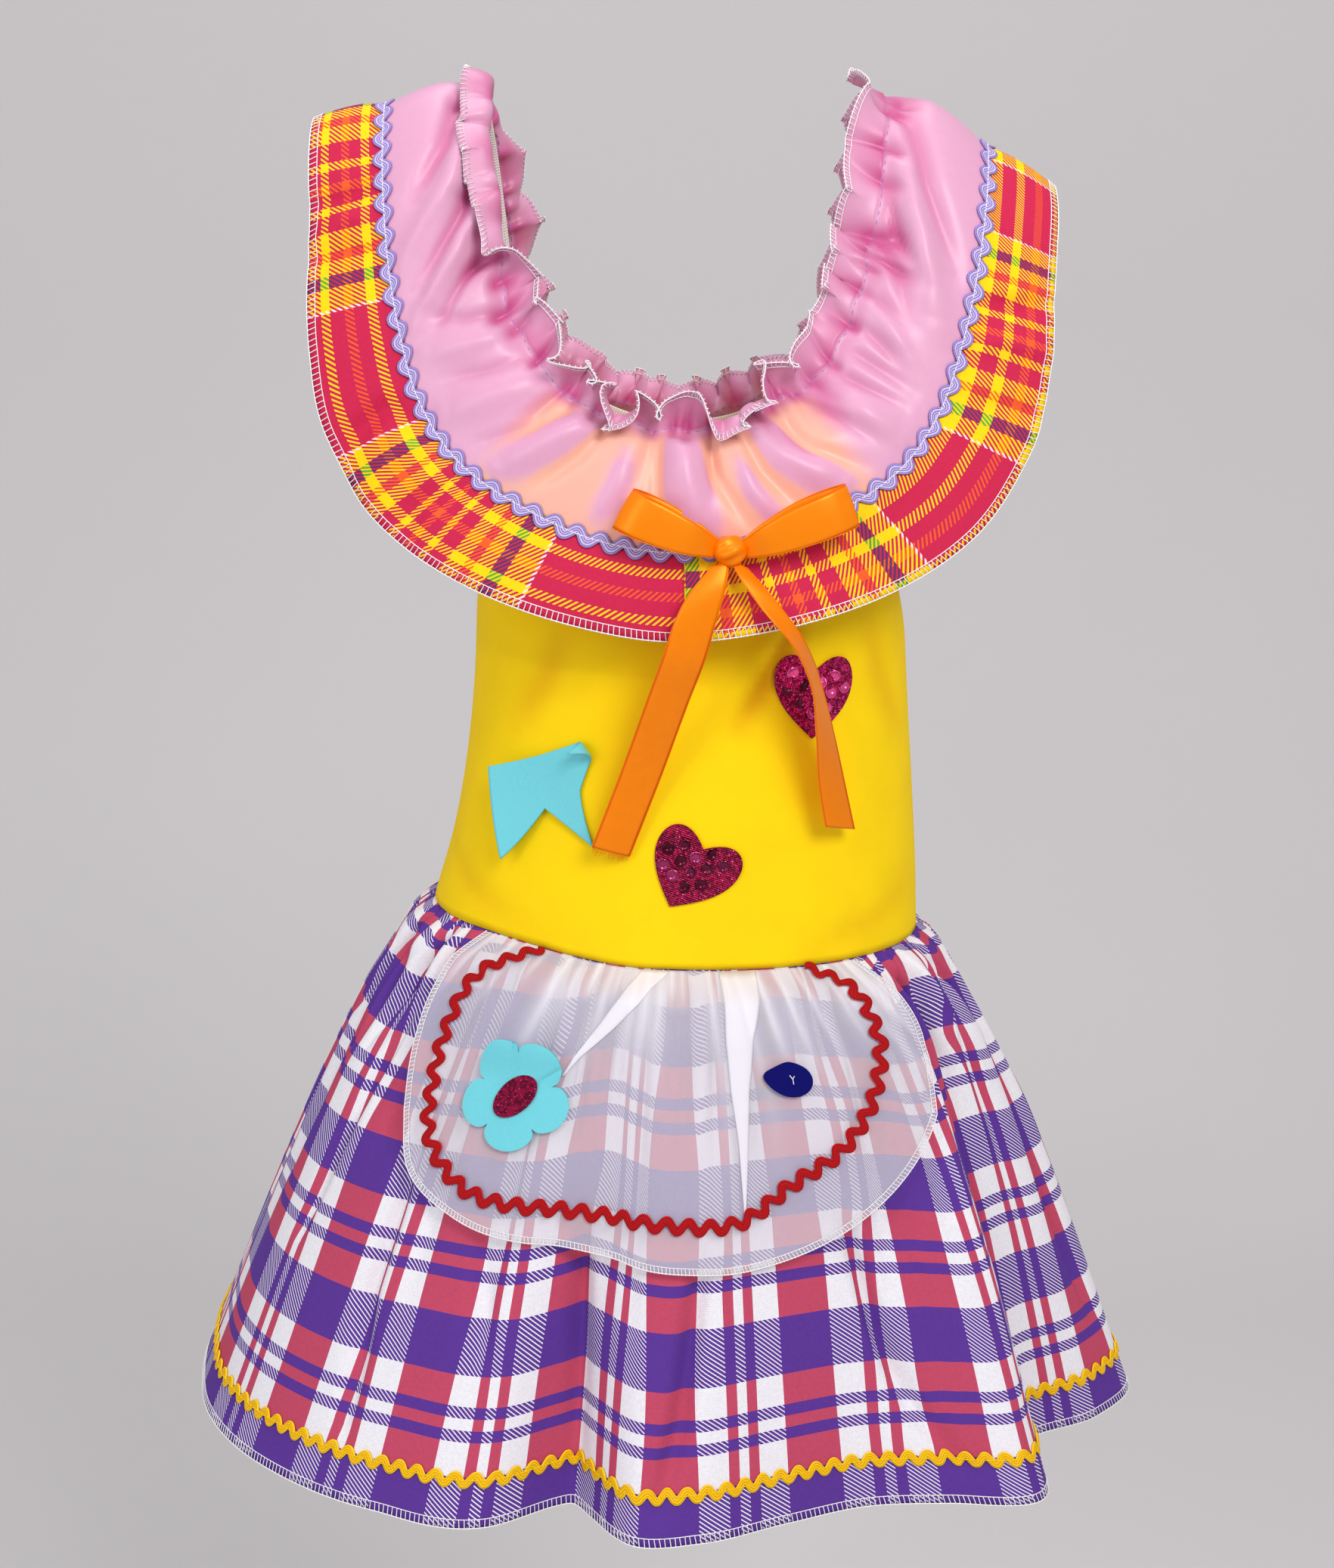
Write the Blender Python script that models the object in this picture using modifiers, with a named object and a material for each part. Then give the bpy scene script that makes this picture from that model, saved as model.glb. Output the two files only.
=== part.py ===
"""A child's festa junina dress, filled out as it is worn, with every cut piece as its own cloth wall.

Metres, +Z up, front towards -Y. The origin is the middle of the shoulder line, where the wearer holds it.
"""

import math

import bpy
import numpy as np
from mathutils import Matrix

MM = 0.001
SEAM_GAP = 0.3 * MM

KNIT_THICK = 1.6 * MM
SATIN_THICK = 1.0 * MM
COTTON_THICK = 1.4 * MM
ORGANZA_THICK = 1.0 * MM
ELASTIC_THICK = 1.2 * MM
RICRAC_THICK = 1.3 * MM
RIBBON_THICK = 1.0 * MM
FELT_THICK = 1.8 * MM
SEQUIN_CLOTH_THICK = 1.5 * MM

SHOULDER_ANGLE = 90.0
BACK_DEPTH_SHARE = 0.92
SECTION_POWER = 2.1
WAIST_HEIGHT = -451.8
HEM_HEIGHT = -745.0

# Rings of the bodice, in millimetres from the origin.
BODY = (
    # height, centre, half_width, front_depth, back_depth
    (-451.8, 2.0, 139.0, 101.0, 103.0),
    (-420.0, 5.0, 134.0, 100.0, 100.0),
    (-370.0, 7.0, 127.5, 99.0, 95.0),
    (-320.0, 7.0, 122.5, 98.0, 92.0),
    (-260.0, 5.0, 119.0, 97.5, 89.0),
    (-205.0, 2.0, 116.5, 96.5, 87.0),
    (-160.0, 0.0, 112.0, 93.0, 85.0),
    (-100.0, 0.0, 107.0, 85.0, 78.0),
)
BODICE_RING_COLUMNS = 40
BODICE_ROWS = 8
YOKE_START = -284.0
# The armhole's edge from the strap's root down to the side seam, on the right half of the front.
ARMHOLE = (
    # angle, across, forward, height
    (54.0, 96.0, 62.0, -117.0),
    (63.0, 100.0, 57.0, -147.0),
    (72.0, 104.5, 47.0, -181.0),
    (81.0, 110.0, 27.0, -209.0),
    (90.0, 114.0, 0.0, -219.0),
)
STRAP_ROOT_ANGLE = 58.0
NECK_STATION_SHARE = 0.75

# Rings of the skirt between its folds.
SKIRT = (
    # height, half_width, front_depth, back_depth
    (-745.0, 277.0, 176.0, 189.0),
    (-700.0, 261.0, 168.0, 181.0),
    (-650.0, 243.0, 159.0, 172.0),
    (-600.0, 224.0, 149.0, 162.0),
    (-550.0, 203.0, 139.0, 150.0),
    (-500.0, 177.0, 127.0, 136.0),
    (-475.0, 161.0, 118.5, 126.0),
    (-459.0, 148.0, 109.0, 113.0),
    (-452.1, 139.0, 101.0, 103.0),
)
SKIRT_CENTRE = 2.0
# The waist seam rises towards the left side, and takes what lies near it along.
WAIST_LIFT = 9.5
WAIST_LIFT_FROM = -10.0
WAIST_LIFT_OVER = 100.0
WAIST_LIFT_REACH = 55.0
SKIRT_RING_COLUMNS = 144
SKIRT_HEIGHTS = (-452.1, -459.0, -476.0, -512.0, -580.0, -660.0, -745.0)
# Folds round the hem, from the back centre round by the left side, the front and the right side.
FOLDS = (
    # angle, reach
    (-180.0, -14.0),
    (-168.0, 13.0),
    (-154.0, -12.0),
    (-140.0, 16.0),
    (-126.0, -13.0),
    (-112.0, 12.0),
    (-98.0, 5.0),
    (-84.0, 1.0),
    (-68.0, 5.0),
    (-50.0, 12.0),
    (-32.0, 18.0),
    (-19.0, 15.0),
    (-11.3, -17.0),
    (-2.5, 21.0),
    (4.0, 17.0),
    (14.0, -1.0),
    (26.0, -12.0),
    (35.0, -2.0),
    (44.0, 18.0),
    (59.0, -33.0),
    (75.0, -12.0),
    (90.0, 6.0),
    (104.0, -10.0),
    (118.0, 14.0),
    (132.0, -13.0),
    (146.0, 15.0),
    (158.0, -9.0),
    (169.0, 12.0),
    (180.0, -14.0),
)
FOLD_GROWTH = 1.25
GATHER_COUNT = 36
GATHERS = (
    # height, amplitude
    (-745.0, 0.4),
    (-660.0, 0.8),
    (-580.0, 1.6),
    (-512.0, 2.6),
    (-476.0, 3.2),
    (-459.0, 2.4),
    (-452.1, 0.0),
)
HEM_TRIM_RISE = 27.0

# The collar's gather line, trim line and free edge, from the front centre (0) to the shoulder (90).
COLLAR = (
    # station, then across, forward and height of the gather line, of the trim line and of the free edge
    (0.0, 0.0, 94.0, -161.0, 0.0, 118.0, -221.0, 0.0, 130.0, -265.0),
    (8.0, 22.0, 93.0, -159.5, 40.0, 116.0, -216.0, 54.0, 127.0, -258.0),
    (17.0, 45.0, 89.0, -152.0, 79.0, 108.0, -201.0, 108.0, 117.0, -241.0),
    (27.0, 68.0, 79.0, -137.5, 112.0, 95.0, -181.0, 155.0, 98.0, -213.0),
    (38.0, 86.0, 68.0, -116.0, 134.0, 80.0, -152.0, 183.0, 78.0, -172.0),
    (50.0, 94.0, 58.0, -88.0, 146.0, 68.0, -116.0, 193.0, 65.0, -130.0),
    (63.0, 98.5, 47.0, -56.0, 153.5, 54.0, -77.0, 196.0, 52.0, -88.0),
    (77.0, 103.0, 29.0, -20.0, 158.0, 33.0, -34.0, 197.0, 32.0, -46.0),
    (90.0, 106.0, 0.0, 2.0, 160.0, 0.0, -7.0, 198.0, 0.0, -17.0),
)
COLLAR_CENTRE = -4.0
BACK_NECK_DROP = 15.0
SHOULDER_TILT_START = 58.0
SHOULDER_PIVOT = 118.0
RIGHT_SHOULDER_TILT = -0.25
LEFT_SHOULDER_TILT = 0.06
COLLAR_RING_COLUMNS = 108
SATIN_DEPTHS = (0.0, 0.27, 0.54, 0.78, 1.0)
SATIN_PUFF = 4.0
PUCKER_COUNT = 27
PUCKERS = (
    # depth, amplitude
    (0.0, 0.8),
    (0.27, 2.6),
    (0.54, 2.8),
    (0.78, 2.0),
    (1.0, 0.5),
)
BAND_DEPTHS = (0.0, 0.5, 1.0)
BAND_PUFF = 2.0
BAND_FLARE_COUNT = 11
BAND_FLARE = 2.5

# How far the neck frill leans out of its upright, from the left shoulder round the front and the back.
LEAN = (
    # station, lean
    (-90.0, 110.0),
    (-72.0, 112.0),
    (-56.0, 70.0),
    (-40.0, 30.0),
    (-20.0, 62.0),
    (0.0, 88.0),
    (16.0, 78.0),
    (30.0, 38.0),
    (50.0, 22.0),
    (70.0, 18.0),
    (90.0, 40.0),
    (115.0, 62.0),
    (150.0, 74.0),
    (180.0, 76.0),
    (210.0, 74.0),
    (245.0, 76.0),
    (270.0, 110.0),
)
FRILL_HEIGHT = 23.0
FRILL_SWING = 20.0

ELASTIC_TOP = 0.5
ELASTIC_WIDTH = 9.0
ELASTIC_RING_COLUMNS = 52
KNIT_BELOW_GATHERS = 11.4
BEHIND_SATIN = (SATIN_THICK + SEAM_GAP) / MM + 0.3

RICRAC_LIFT = 0.9
HEM_RICRAC = {"swing": 3.0, "half_width": 2.4}
COLLAR_RICRAC = {"swing": 3.2, "half_width": 2.6}
APRON_RICRAC = {"swing": 2.6, "half_width": 2.2}

# The apron's four sides on the skirt, as angle and height along each.
APRON_TOP_LEFT = -47.0
APRON_TOP_RIGHT = 44.0
APRON_TOP_HEIGHT = -452.9
APRON_LEFT = (
    # along, angle, height
    (0.0, -47.0, -452.9),
    (0.3, -48.5, -475.0),
    (0.6, -47.5, -502.0),
    (1.0, -44.0, -536.0),
)
APRON_RIGHT = (
    # along, angle, height
    (0.0, 44.0, -452.9),
    (0.3, 48.0, -475.0),
    (0.6, 47.5, -500.0),
    (1.0, 44.5, -530.0),
)
APRON_BOTTOM = (
    # along, angle, height
    (0.0, -44.0, -536.0),
    (0.1, -39.5, -564.0),
    (0.22, -30.0, -583.0),
    (0.4, -13.0, -594.0),
    (0.55, 3.0, -605.0),
    (0.65, 11.0, -606.0),
    (0.78, 24.0, -587.0),
    (0.9, 36.0, -560.0),
    (1.0, 44.5, -530.0),
)
APRON_COLUMNS_ACROSS = 28
APRON_ROWS_DOWN = (0.0, 0.05, 0.16, 0.36, 0.58, 0.8, 1.0)
APRON_GATHER_ANGLE = 12.0
APRON_GATHER = 1.6
APRON_GATHER_KEPT = 0.3
APRON_GATHER_FADES_OVER = 110.0
APRON_SEAM_CLEARANCE = 0.6
APRON_CLEARANCE = 3.2
APRON_RISE_START = 3.0
APRON_RISE_OVER = 15.0
APRON_BRIDGE = 9.0
APRON_TRIM = (
    # along, angle, height
    (0.0, -32.0, -455.5),
    (0.05, -38.5, -465.0),
    (0.13, -41.0, -492.0),
    (0.2, -40.0, -518.0),
    (0.27, -37.0, -546.0),
    (0.33, -30.0, -566.0),
    (0.42, -17.0, -572.5),
    (0.52, -2.0, -578.5),
    (0.59, 9.5, -579.5),
    (0.65, 17.0, -559.0),
    (0.73, 27.0, -539.0),
    (0.81, 35.0, -508.0),
    (0.9, 38.0, -478.0),
    (0.96, 36.0, -460.0),
    (1.0, 31.0, -455.5),
)
APRON_TRIM_WAVES = 43

# Flat shapes: the angle and height of their middles, their sizes, their turn and the gap beneath them.
HEART_UPPER = {"angle": 32.1, "height": -302.0, "width": 44.0, "length": 44.0, "turn": -6.0, "lift": 0.5}
HEART_LOWER = {"angle": 2.2, "height": -396.0, "width": 49.0, "length": 43.0, "turn": -26.0, "lift": 0.5}
FLOWER = {"angle": -24.7, "height": -517.0, "radius": 29.5, "notch": 23.5, "turn": 120.0, "lift": 1.2}
FLOWER_CENTRE = {"angle": -24.4, "height": -516.5, "width": 27.0, "length": 17.5, "turn": 48.0, "lift": 0.5}
BUTTON = {"angle": 19.6, "height": -502.5, "width": 23.0, "length": 19.0, "turn": -8.0, "lift": 1.2}
BUTTON_POINT = 3.5
HEART_OUTLINE_POINTS = 24
HEART_FULLNESS = 2.4
FLOWER_PETALS = 5
FLOWER_OUTLINE_POINTS = 40
OVAL_OUTLINE_POINTS = 20
PATCH_RINGS = (1.0, 0.55)
PENNANT = {"angle": -39.0, "height": -340.0, "width": 50.0, "length": 55.0, "fork": 26.0, "turn": 13.0}
PENNANT_TOP_SLANT = 8.0
PENNANT_LIFT = 1.0
PENNANT_LEFT_LIFT = 9.0
PENNANT_CURL = 13.0
PENNANT_CURL_FROM = 0.55
PENNANT_CURL_DOWN_TO = 0.45

# The bow's ribbon, forward from the trim line's front, with the direction and size of its width.
BOW_BASE_FORWARD = 119.0
LEFT_LOOP = (
    # across, forward, height, width x, y and z, width
    (17.1, 9.0, -217.0, 0.30, 0.10, 0.95, 8.5),
    (6.0, 16.0, -212.0, 0.36, 0.10, 0.93, 15.0),
    (-12.0, 18.0, -204.5, 0.42, 0.10, 0.90, 20.5),
    (-27.0, 15.0, -198.5, 0.45, 0.10, 0.89, 22.0),
    (-31.0, 10.0, -197.0, 0.46, 0.10, 0.88, 22.0),
    (-26.0, 5.0, -199.0, 0.45, 0.10, 0.89, 22.0),
    (-10.0, 2.5, -205.5, 0.42, 0.10, 0.90, 20.0),
    (6.0, 2.5, -212.0, 0.36, 0.10, 0.93, 14.0),
    (16.8, 5.5, -216.5, 0.30, 0.10, 0.95, 8.5),
)
RIGHT_LOOP = (
    # across, forward, height, width x, y and z, width
    (30.9, 9.0, -217.0, -0.30, 0.05, 0.95, 8.5),
    (42.0, 16.0, -211.0, -0.34, 0.05, 0.94, 15.0),
    (62.0, 17.5, -202.0, -0.36, 0.05, 0.93, 20.5),
    (80.0, 13.0, -194.5, -0.36, 0.05, 0.93, 22.0),
    (85.0, 8.0, -192.5, -0.36, 0.05, 0.93, 22.0),
    (79.0, 3.0, -195.0, -0.36, 0.05, 0.93, 22.0),
    (60.0, 0.5, -203.0, -0.36, 0.05, 0.93, 20.0),
    (42.0, 2.0, -211.5, -0.34, 0.05, 0.94, 14.0),
    (31.2, 5.5, -216.5, -0.30, 0.05, 0.95, 8.5),
)
LEFT_TAIL = (
    # across, forward, height, width x, y and z, width
    (19.4, 9.0, -224.3, 0.96, 0.10, 0.26, 8.5),
    (14.0, 14.0, -235.0, 0.96, 0.05, 0.27, 16.0),
    (7.0, 17.2, -254.0, 0.96, 0.00, 0.28, 21.0),
    (3.0, 16.6, -269.0, 0.96, 0.00, 0.28, 22.0),
    (-5.0, 8.0, -295.0, 0.96, 0.00, 0.28, 22.0),
    (-18.0, -6.0, -338.0, 0.96, 0.00, 0.28, 22.0),
    (-34.0, -15.0, -386.0, 0.96, 0.00, 0.28, 22.0),
)
RIGHT_TAIL = (
    # across, forward, height, width x, y and z, width
    (28.7, 9.0, -224.3, 0.93, 0.10, -0.36, 8.5),
    (36.0, 14.0, -233.0, 0.90, 0.15, -0.41, 15.0),
    (48.0, 16.0, -248.0, 0.84, 0.30, -0.45, 20.0),
    (60.0, 12.0, -266.0, 0.72, 0.55, -0.43, 22.0),
    (68.5, 0.0, -288.0, 0.52, 0.82, -0.24, 22.0),
    (74.0, -10.0, -315.0, 0.55, 0.82, -0.12, 22.0),
    (80.0, -19.5, -345.0, 0.70, 0.71, -0.08, 22.0),
    (86.0, -26.0, -372.0, 0.76, 0.65, -0.05, 22.0),
)
KNOT_CENTRE = (24.0, 7.5, -217.5)
KNOT_RADII = (7.6, 5.6, 5.8)
FORWARD_TO_Y = np.array([1.0, -1.0, 1.0])

# Names, base colours as linear RGB, roughness.
FINISHES = {
    "yellow_knit": ((0.92, 0.66, 0.01), 0.75),
    "pink_satin": ((0.85, 0.33, 0.55), 0.35),
    "collar_check": ((0.70, 0.08, 0.10), 0.65),
    "plaid_cotton": ((0.42, 0.22, 0.62), 0.75),
    "white_organza": ((0.85, 0.82, 0.88), 0.45),
    "white_elastic": ((0.82, 0.80, 0.78), 0.70),
    "lilac_braid": ((0.42, 0.33, 0.68), 0.50),
    "yellow_braid": ((0.85, 0.52, 0.02), 0.50),
    "red_braid": ((0.45, 0.01, 0.02), 0.60),
    "orange_ribbon": ((0.95, 0.28, 0.01), 0.30),
    "magenta_sequin": ((0.45, 0.01, 0.12), 0.30),
    "aqua_felt": ((0.12, 0.62, 0.72), 0.85),
    "navy_felt": ((0.01, 0.01, 0.22), 0.85),
}


def clear_scene():
    for thing in list(bpy.data.objects):
        bpy.data.objects.remove(thing, do_unlink=True)


def finish(name):
    """The shared material of that name, made the first time it is asked for."""
    material = bpy.data.materials.get(name)
    if material is None:
        colour, roughness = FINISHES[name]
        material = bpy.data.materials.new(name)
        material.use_nodes = True
        shader = material.node_tree.nodes["Principled BSDF"]
        shader.inputs["Base Color"].default_value = (*colour, 1.0)
        shader.inputs["Roughness"].default_value = roughness
        material.diffuse_color = (*colour, 1.0)
    return material


def read(table, at):
    """Reads a table at places between its rows, along a smooth curve through them."""
    rows = np.asarray(table, float)
    rows = rows[np.argsort(rows[:, 0])]
    places, values = rows[:, 0], rows[:, 1:]
    slopes = np.gradient(values, places, axis=0)
    at = np.asarray(at, float)
    low = np.clip(np.searchsorted(places, at, side="right") - 1, 0, len(places) - 2)
    span = (places[low + 1] - places[low])[..., None]
    part = (at - places[low])[..., None] / span
    start_share = 2 * part**3 - 3 * part**2 + 1
    start_slope = (part**3 - 2 * part**2 + part) * span
    end_slope = (part**3 - part**2) * span
    return (
        start_share * values[low]
        + start_slope * slopes[low]
        + (1 - start_share) * values[low + 1]
        + end_slope * slopes[low + 1]
    )


def unit(vectors):
    return vectors / np.linalg.norm(vectors, axis=-1, keepdims=True)


def smooth_step(value):
    value = np.clip(value, 0.0, 1.0)
    return value * value * (3 - 2 * value)


def oval(angle, centre, half_width, front_depth, back_depth, height):
    """Points of a body section, where the angle runs from the front centre towards +X."""
    turn = np.radians(angle)
    sine, cosine = np.sin(turn), np.cos(turn)
    reach = (np.abs(sine) ** SECTION_POWER + np.abs(cosine) ** SECTION_POWER) ** (-1 / SECTION_POWER)
    depth = np.where(cosine >= 0, front_depth, back_depth)
    across = centre + half_width * reach * sine
    return np.stack([across, -depth * reach * cosine, np.broadcast_to(height, across.shape)], -1)


def body_point(angle, height, out=0.0):
    """A point on the bodice's outer face, in millimetres, or that far out of it."""
    ring = read(BODY, height)
    centre, half_width, front, back = np.moveaxis(ring, -1, 0)
    return oval(angle, centre, half_width + out, front + out, back + out, height)


def skirt_drop(height):
    return np.clip((WAIST_HEIGHT - height) / (WAIST_HEIGHT - HEM_HEIGHT), 0.0, 1.0)


def wrapped(angle):
    return (np.asarray(angle, float) + 180.0) % 360.0 - 180.0


def fold_reach(angle, height):
    return read(FOLDS, wrapped(angle))[..., 0] * skirt_drop(height) ** FOLD_GROWTH


def gather_depth(height):
    return read(GATHERS, height)[..., 0]


def skirt_point(angle, height, reach):
    ring = read(SKIRT, height)
    half_width, front, back = np.moveaxis(ring, -1, 0)
    return oval(angle, SKIRT_CENTRE, half_width + reach, front + reach, back + reach, height)


def even_places(points, count):
    """Fractions of a closed line, sampled finely, that part it into equal lengths."""
    steps = np.linalg.norm(np.diff(points, axis=0), axis=1)
    travelled = np.concatenate([[0.0], np.cumsum(steps)]) / steps.sum()
    return np.interp(np.arange(count) / count, travelled, np.linspace(0.0, 1.0, len(points)))


def ring_normals(grid):
    """Outward normals of a grid whose columns close into a ring."""
    across = np.roll(grid, -1, axis=1) - np.roll(grid, 1, axis=1)
    down = np.gradient(grid, axis=0)
    return unit(np.cross(down, across))


def sheet_normals(grid):
    return unit(np.cross(np.gradient(grid, axis=0), np.gradient(grid, axis=1)))


def ring_part(grid, first, last):
    """Columns first to last of a ring, going on past its end where last is over the count."""
    return np.take(grid, range(first, last + 1), axis=1, mode="wrap")


def drawn_in(grid, amount):
    """The grid with its first and last columns moved inwards, which leaves a seam's gap."""
    moved = grid.copy()
    moved[:, 0] += unit(grid[:, 1] - grid[:, 0]) * amount
    moved[:, -1] += unit(grid[:, -2] - grid[:, -1]) * amount
    return moved


def with_waist_lifted(points):
    """The points, in metres, with those near the waist's left side raised."""
    points = np.array(points)
    share = smooth_step((WAIST_LIFT_FROM - points[:, 0] / MM) / WAIST_LIFT_OVER)
    away = (points[:, 2] / MM - WAIST_HEIGHT) / WAIST_LIFT_REACH
    points[:, 2] += WAIST_LIFT * MM * share * np.exp(-(away**2))
    return points


def add_mesh(name, vertices, faces, material):
    mesh = bpy.data.meshes.new(name)
    mesh.from_pydata([tuple(point) for point in with_waist_lifted(vertices)], [], faces)
    mesh.materials.append(finish(material))
    mesh.shade_smooth()
    mesh.update()
    piece = bpy.data.objects.new(name, mesh)
    bpy.data.collections["festa_junina_dress"].objects.link(piece)
    return piece


def add_wall(name, outer, normals, thickness, material):
    """One closed cloth wall from a grid on its outer face, rows down and columns towards +X.

    Both faces are split along the same diagonals, so that a twisted wall keeps its thickness.
    """
    outer = drawn_in(np.asarray(outer) * MM, SEAM_GAP / 2)
    inner = outer - normals * thickness
    rows, columns = outer.shape[:2]
    front = np.arange(rows * columns).reshape(rows, columns)
    back = front + rows * columns
    faces = []
    for row in range(rows - 1):
        for column in range(columns - 1):
            corners = (row, column), (row + 1, column), (row + 1, column + 1), (row, column + 1)
            for half in ((0, 1, 2), (0, 2, 3)):
                faces.append([int(front[corners[corner]]) for corner in half])
                faces.append([int(back[corners[corner]]) for corner in reversed(half)])
    border = np.concatenate([front[0, :-1], front[:-1, -1], front[-1, :0:-1], front[:0:-1, 0]])
    for this, following in zip(border, np.roll(border, -1)):
        faces.append([int(this), int(following), int(following + rows * columns), int(this + rows * columns)])
    vertices = np.concatenate([outer.reshape(-1, 3), inner.reshape(-1, 3)])
    return add_mesh(name, vertices, faces, material)


def add_halves(name, grid, normals, thickness, material):
    """Front and back walls of a ring, parted at its two sides, where column 0 is the back centre."""
    count = grid.shape[1]
    quarter = count // 4
    for half, first, last in (("front", quarter, 3 * quarter), ("back", 3 * quarter, 5 * quarter)):
        part = ring_part(grid, first, last)
        part_normals = ring_part(normals, first, last)
        add_wall(f"{name}_{half}", part, part_normals, thickness, material)


def add_braid(name, line, normals, up, down, shape, material):
    """A zigzag braid, two points to a wave, off the cloth that it is sewn on, which may bend there."""
    swing = np.where(np.arange(len(line)) % 2 == 0, shape["swing"], -shape["swing"])
    lifted = line + normals * (RICRAC_LIFT + RICRAC_THICK / MM)
    edges = []
    for side in (-1.0, 1.0):
        distance = (swing + side * shape["half_width"])[:, None]
        edges.append(lifted + np.where(distance < 0, up, down) * np.abs(distance))
    add_wall(name, np.stack(edges), np.stack([normals, normals]), RICRAC_THICK, material)


def with_middles(ring):
    """The ring's points with the middle of each step between them."""
    middle = (ring + np.roll(ring, -1, axis=0)) / 2
    return np.stack([ring, middle], axis=1).reshape(-1, 3)


def ring_braid(name, line, above, below, shape, material):
    """The braid round a ring, a wave to each column, on the cloth between the lines above and below it."""
    line, above, below = (with_middles(ring) for ring in (line, above, below))
    along = np.roll(line, -1, axis=0) - np.roll(line, 1, axis=0)
    normals = unit(np.cross(below - above, along))
    up, down = unit(above - line), unit(below - line)
    quarter = len(line) // 4
    for half, first, last in (("front", quarter, 3 * quarter), ("back", 3 * quarter, 5 * quarter)):
        part = [ring_part(values[None], first, last)[0] for values in (line, normals, up, down)]
        add_braid(f"{name}_{half}", *part, shape, material)


def skirt_ring():
    """The skirt's outer grid, whose columns are evenly spaced along the hem."""
    fine = np.linspace(-180.0, 180.0, 1441)
    hem = skirt_point(fine, np.full(fine.shape, HEM_HEIGHT), fold_reach(fine, HEM_HEIGHT))
    share = even_places(hem, SKIRT_RING_COLUMNS)
    angles = -180.0 + 360.0 * share
    phase = 2 * math.pi * GATHER_COUNT * np.arange(SKIRT_RING_COLUMNS) / SKIRT_RING_COLUMNS
    rows = []
    for height in SKIRT_HEIGHTS:
        heights = np.full(angles.shape, height)
        reach = fold_reach(angles, heights) - gather_depth(heights) * np.cos(phase)
        rows.append(skirt_point(angles, heights, reach))
    return np.stack(rows)


def make_skirt():
    grid = skirt_ring()
    add_halves("skirt", grid, ring_normals(grid), COTTON_THICK, "plaid_cotton")
    rise = HEM_TRIM_RISE / (SKIRT_HEIGHTS[-2] - SKIRT_HEIGHTS[-1])
    line = grid[-2] * rise + grid[-1] * (1 - rise)
    ring_braid("ricrac_hem", line, grid[-2], grid[-1], HEM_RICRAC, "yellow_braid")


def collar_lines(station):
    """The gather line, the trim line and the free edge of the collar, at stations from -180 to 180."""
    station = wrapped(station)
    side = np.where(station < 0, -1.0, 1.0)
    quarter = np.abs(station)
    behind = quarter > SHOULDER_ANGLE
    table = np.asarray(COLLAR)
    mirrored = table[-2::-1].copy()
    mirrored[:, 0] = 2 * SHOULDER_ANGLE - mirrored[:, 0]
    mirrored[:, 2::3] *= -BACK_DEPTH_SHARE
    other_side = table[1:2].copy()
    other_side[:, [0, 1, 4, 7]] *= -1
    whole = np.concatenate([other_side, table, mirrored])
    values = read(whole, quarter).reshape(*quarter.shape, 3, 3)
    drop = BACK_NECK_DROP * smooth_step((quarter - SHOULDER_ANGLE) / SHOULDER_ANGLE)
    tilt = np.where(side > 0, RIGHT_SHOULDER_TILT, LEFT_SHOULDER_TILT)
    near_shoulder = smooth_step(
        (np.where(behind, 2 * SHOULDER_ANGLE - quarter, quarter) - SHOULDER_TILT_START)
        / (SHOULDER_ANGLE - SHOULDER_TILT_START)
    )
    lines = []
    for line in range(3):
        across, forward, height = np.moveaxis(values[..., line, :], -1, 0)
        raised = (across - SHOULDER_PIVOT) * tilt * near_shoulder
        lines.append(np.stack([COLLAR_CENTRE + side * across, -forward, height - drop + raised], -1))
    return lines


def collar_stations(count):
    """Stations evenly spaced along the trim line, starting at the back centre."""
    fine = np.linspace(-180.0, 180.0, 1441)
    share = even_places(collar_lines(fine)[1], count)
    return -180.0 + 360.0 * share


def collar_frame(gather, trim):
    """Unit vectors down the collar and out of it, for lines that close into a ring."""
    down = unit(trim - gather)
    along = np.roll(gather, -1, axis=0) - np.roll(gather, 1, axis=0)
    return down, unit(np.cross(down, along))


def make_collar():
    stations = collar_stations(COLLAR_RING_COLUMNS)
    gather, trim, edge = collar_lines(stations)
    down, out = collar_frame(gather, trim)
    phase = 2 * math.pi * PUCKER_COUNT * np.arange(COLLAR_RING_COLUMNS) / COLLAR_RING_COLUMNS
    lean_at = np.where(stations < -SHOULDER_ANGLE, stations + 360.0, stations)
    lean = np.radians(read(LEAN, lean_at)[..., 0] + FRILL_SWING * np.sin(phase))[:, None]
    head = gather + FRILL_HEIGHT * (-down * np.cos(lean) + out * np.sin(lean))
    satin = [head]
    for depth in SATIN_DEPTHS:
        amplitude = float(read(PUCKERS, depth)[0])
        stand = 4 * SATIN_PUFF * depth * (1 - depth) + amplitude * (1 + np.cos(phase))
        satin.append(gather + (trim - gather) * depth + out * stand[:, None])
    satin = np.stack(satin)
    add_halves("collar_satin", satin, ring_normals(satin), SATIN_THICK, "pink_satin")

    flare_phase = 2 * math.pi * BAND_FLARE_COUNT * np.arange(COLLAR_RING_COLUMNS) / COLLAR_RING_COLUMNS
    top = satin[-1]
    band_down, band_out = collar_frame(top, edge)
    band = []
    for depth in BAND_DEPTHS:
        stand = 4 * BAND_PUFF * depth * (1 - depth) + BAND_FLARE * depth * np.cos(flare_phase)
        band.append(top + (edge - top) * depth + band_out * stand[:, None])
    band[0] = band[0] + band_down * (SEAM_GAP / MM)
    band = np.stack(band)
    add_halves("collar_band", band, ring_normals(band), COTTON_THICK, "collar_check")

    ring_braid("ricrac_collar", top, satin[-2], band[1], COLLAR_RICRAC, "lilac_braid")


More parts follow.
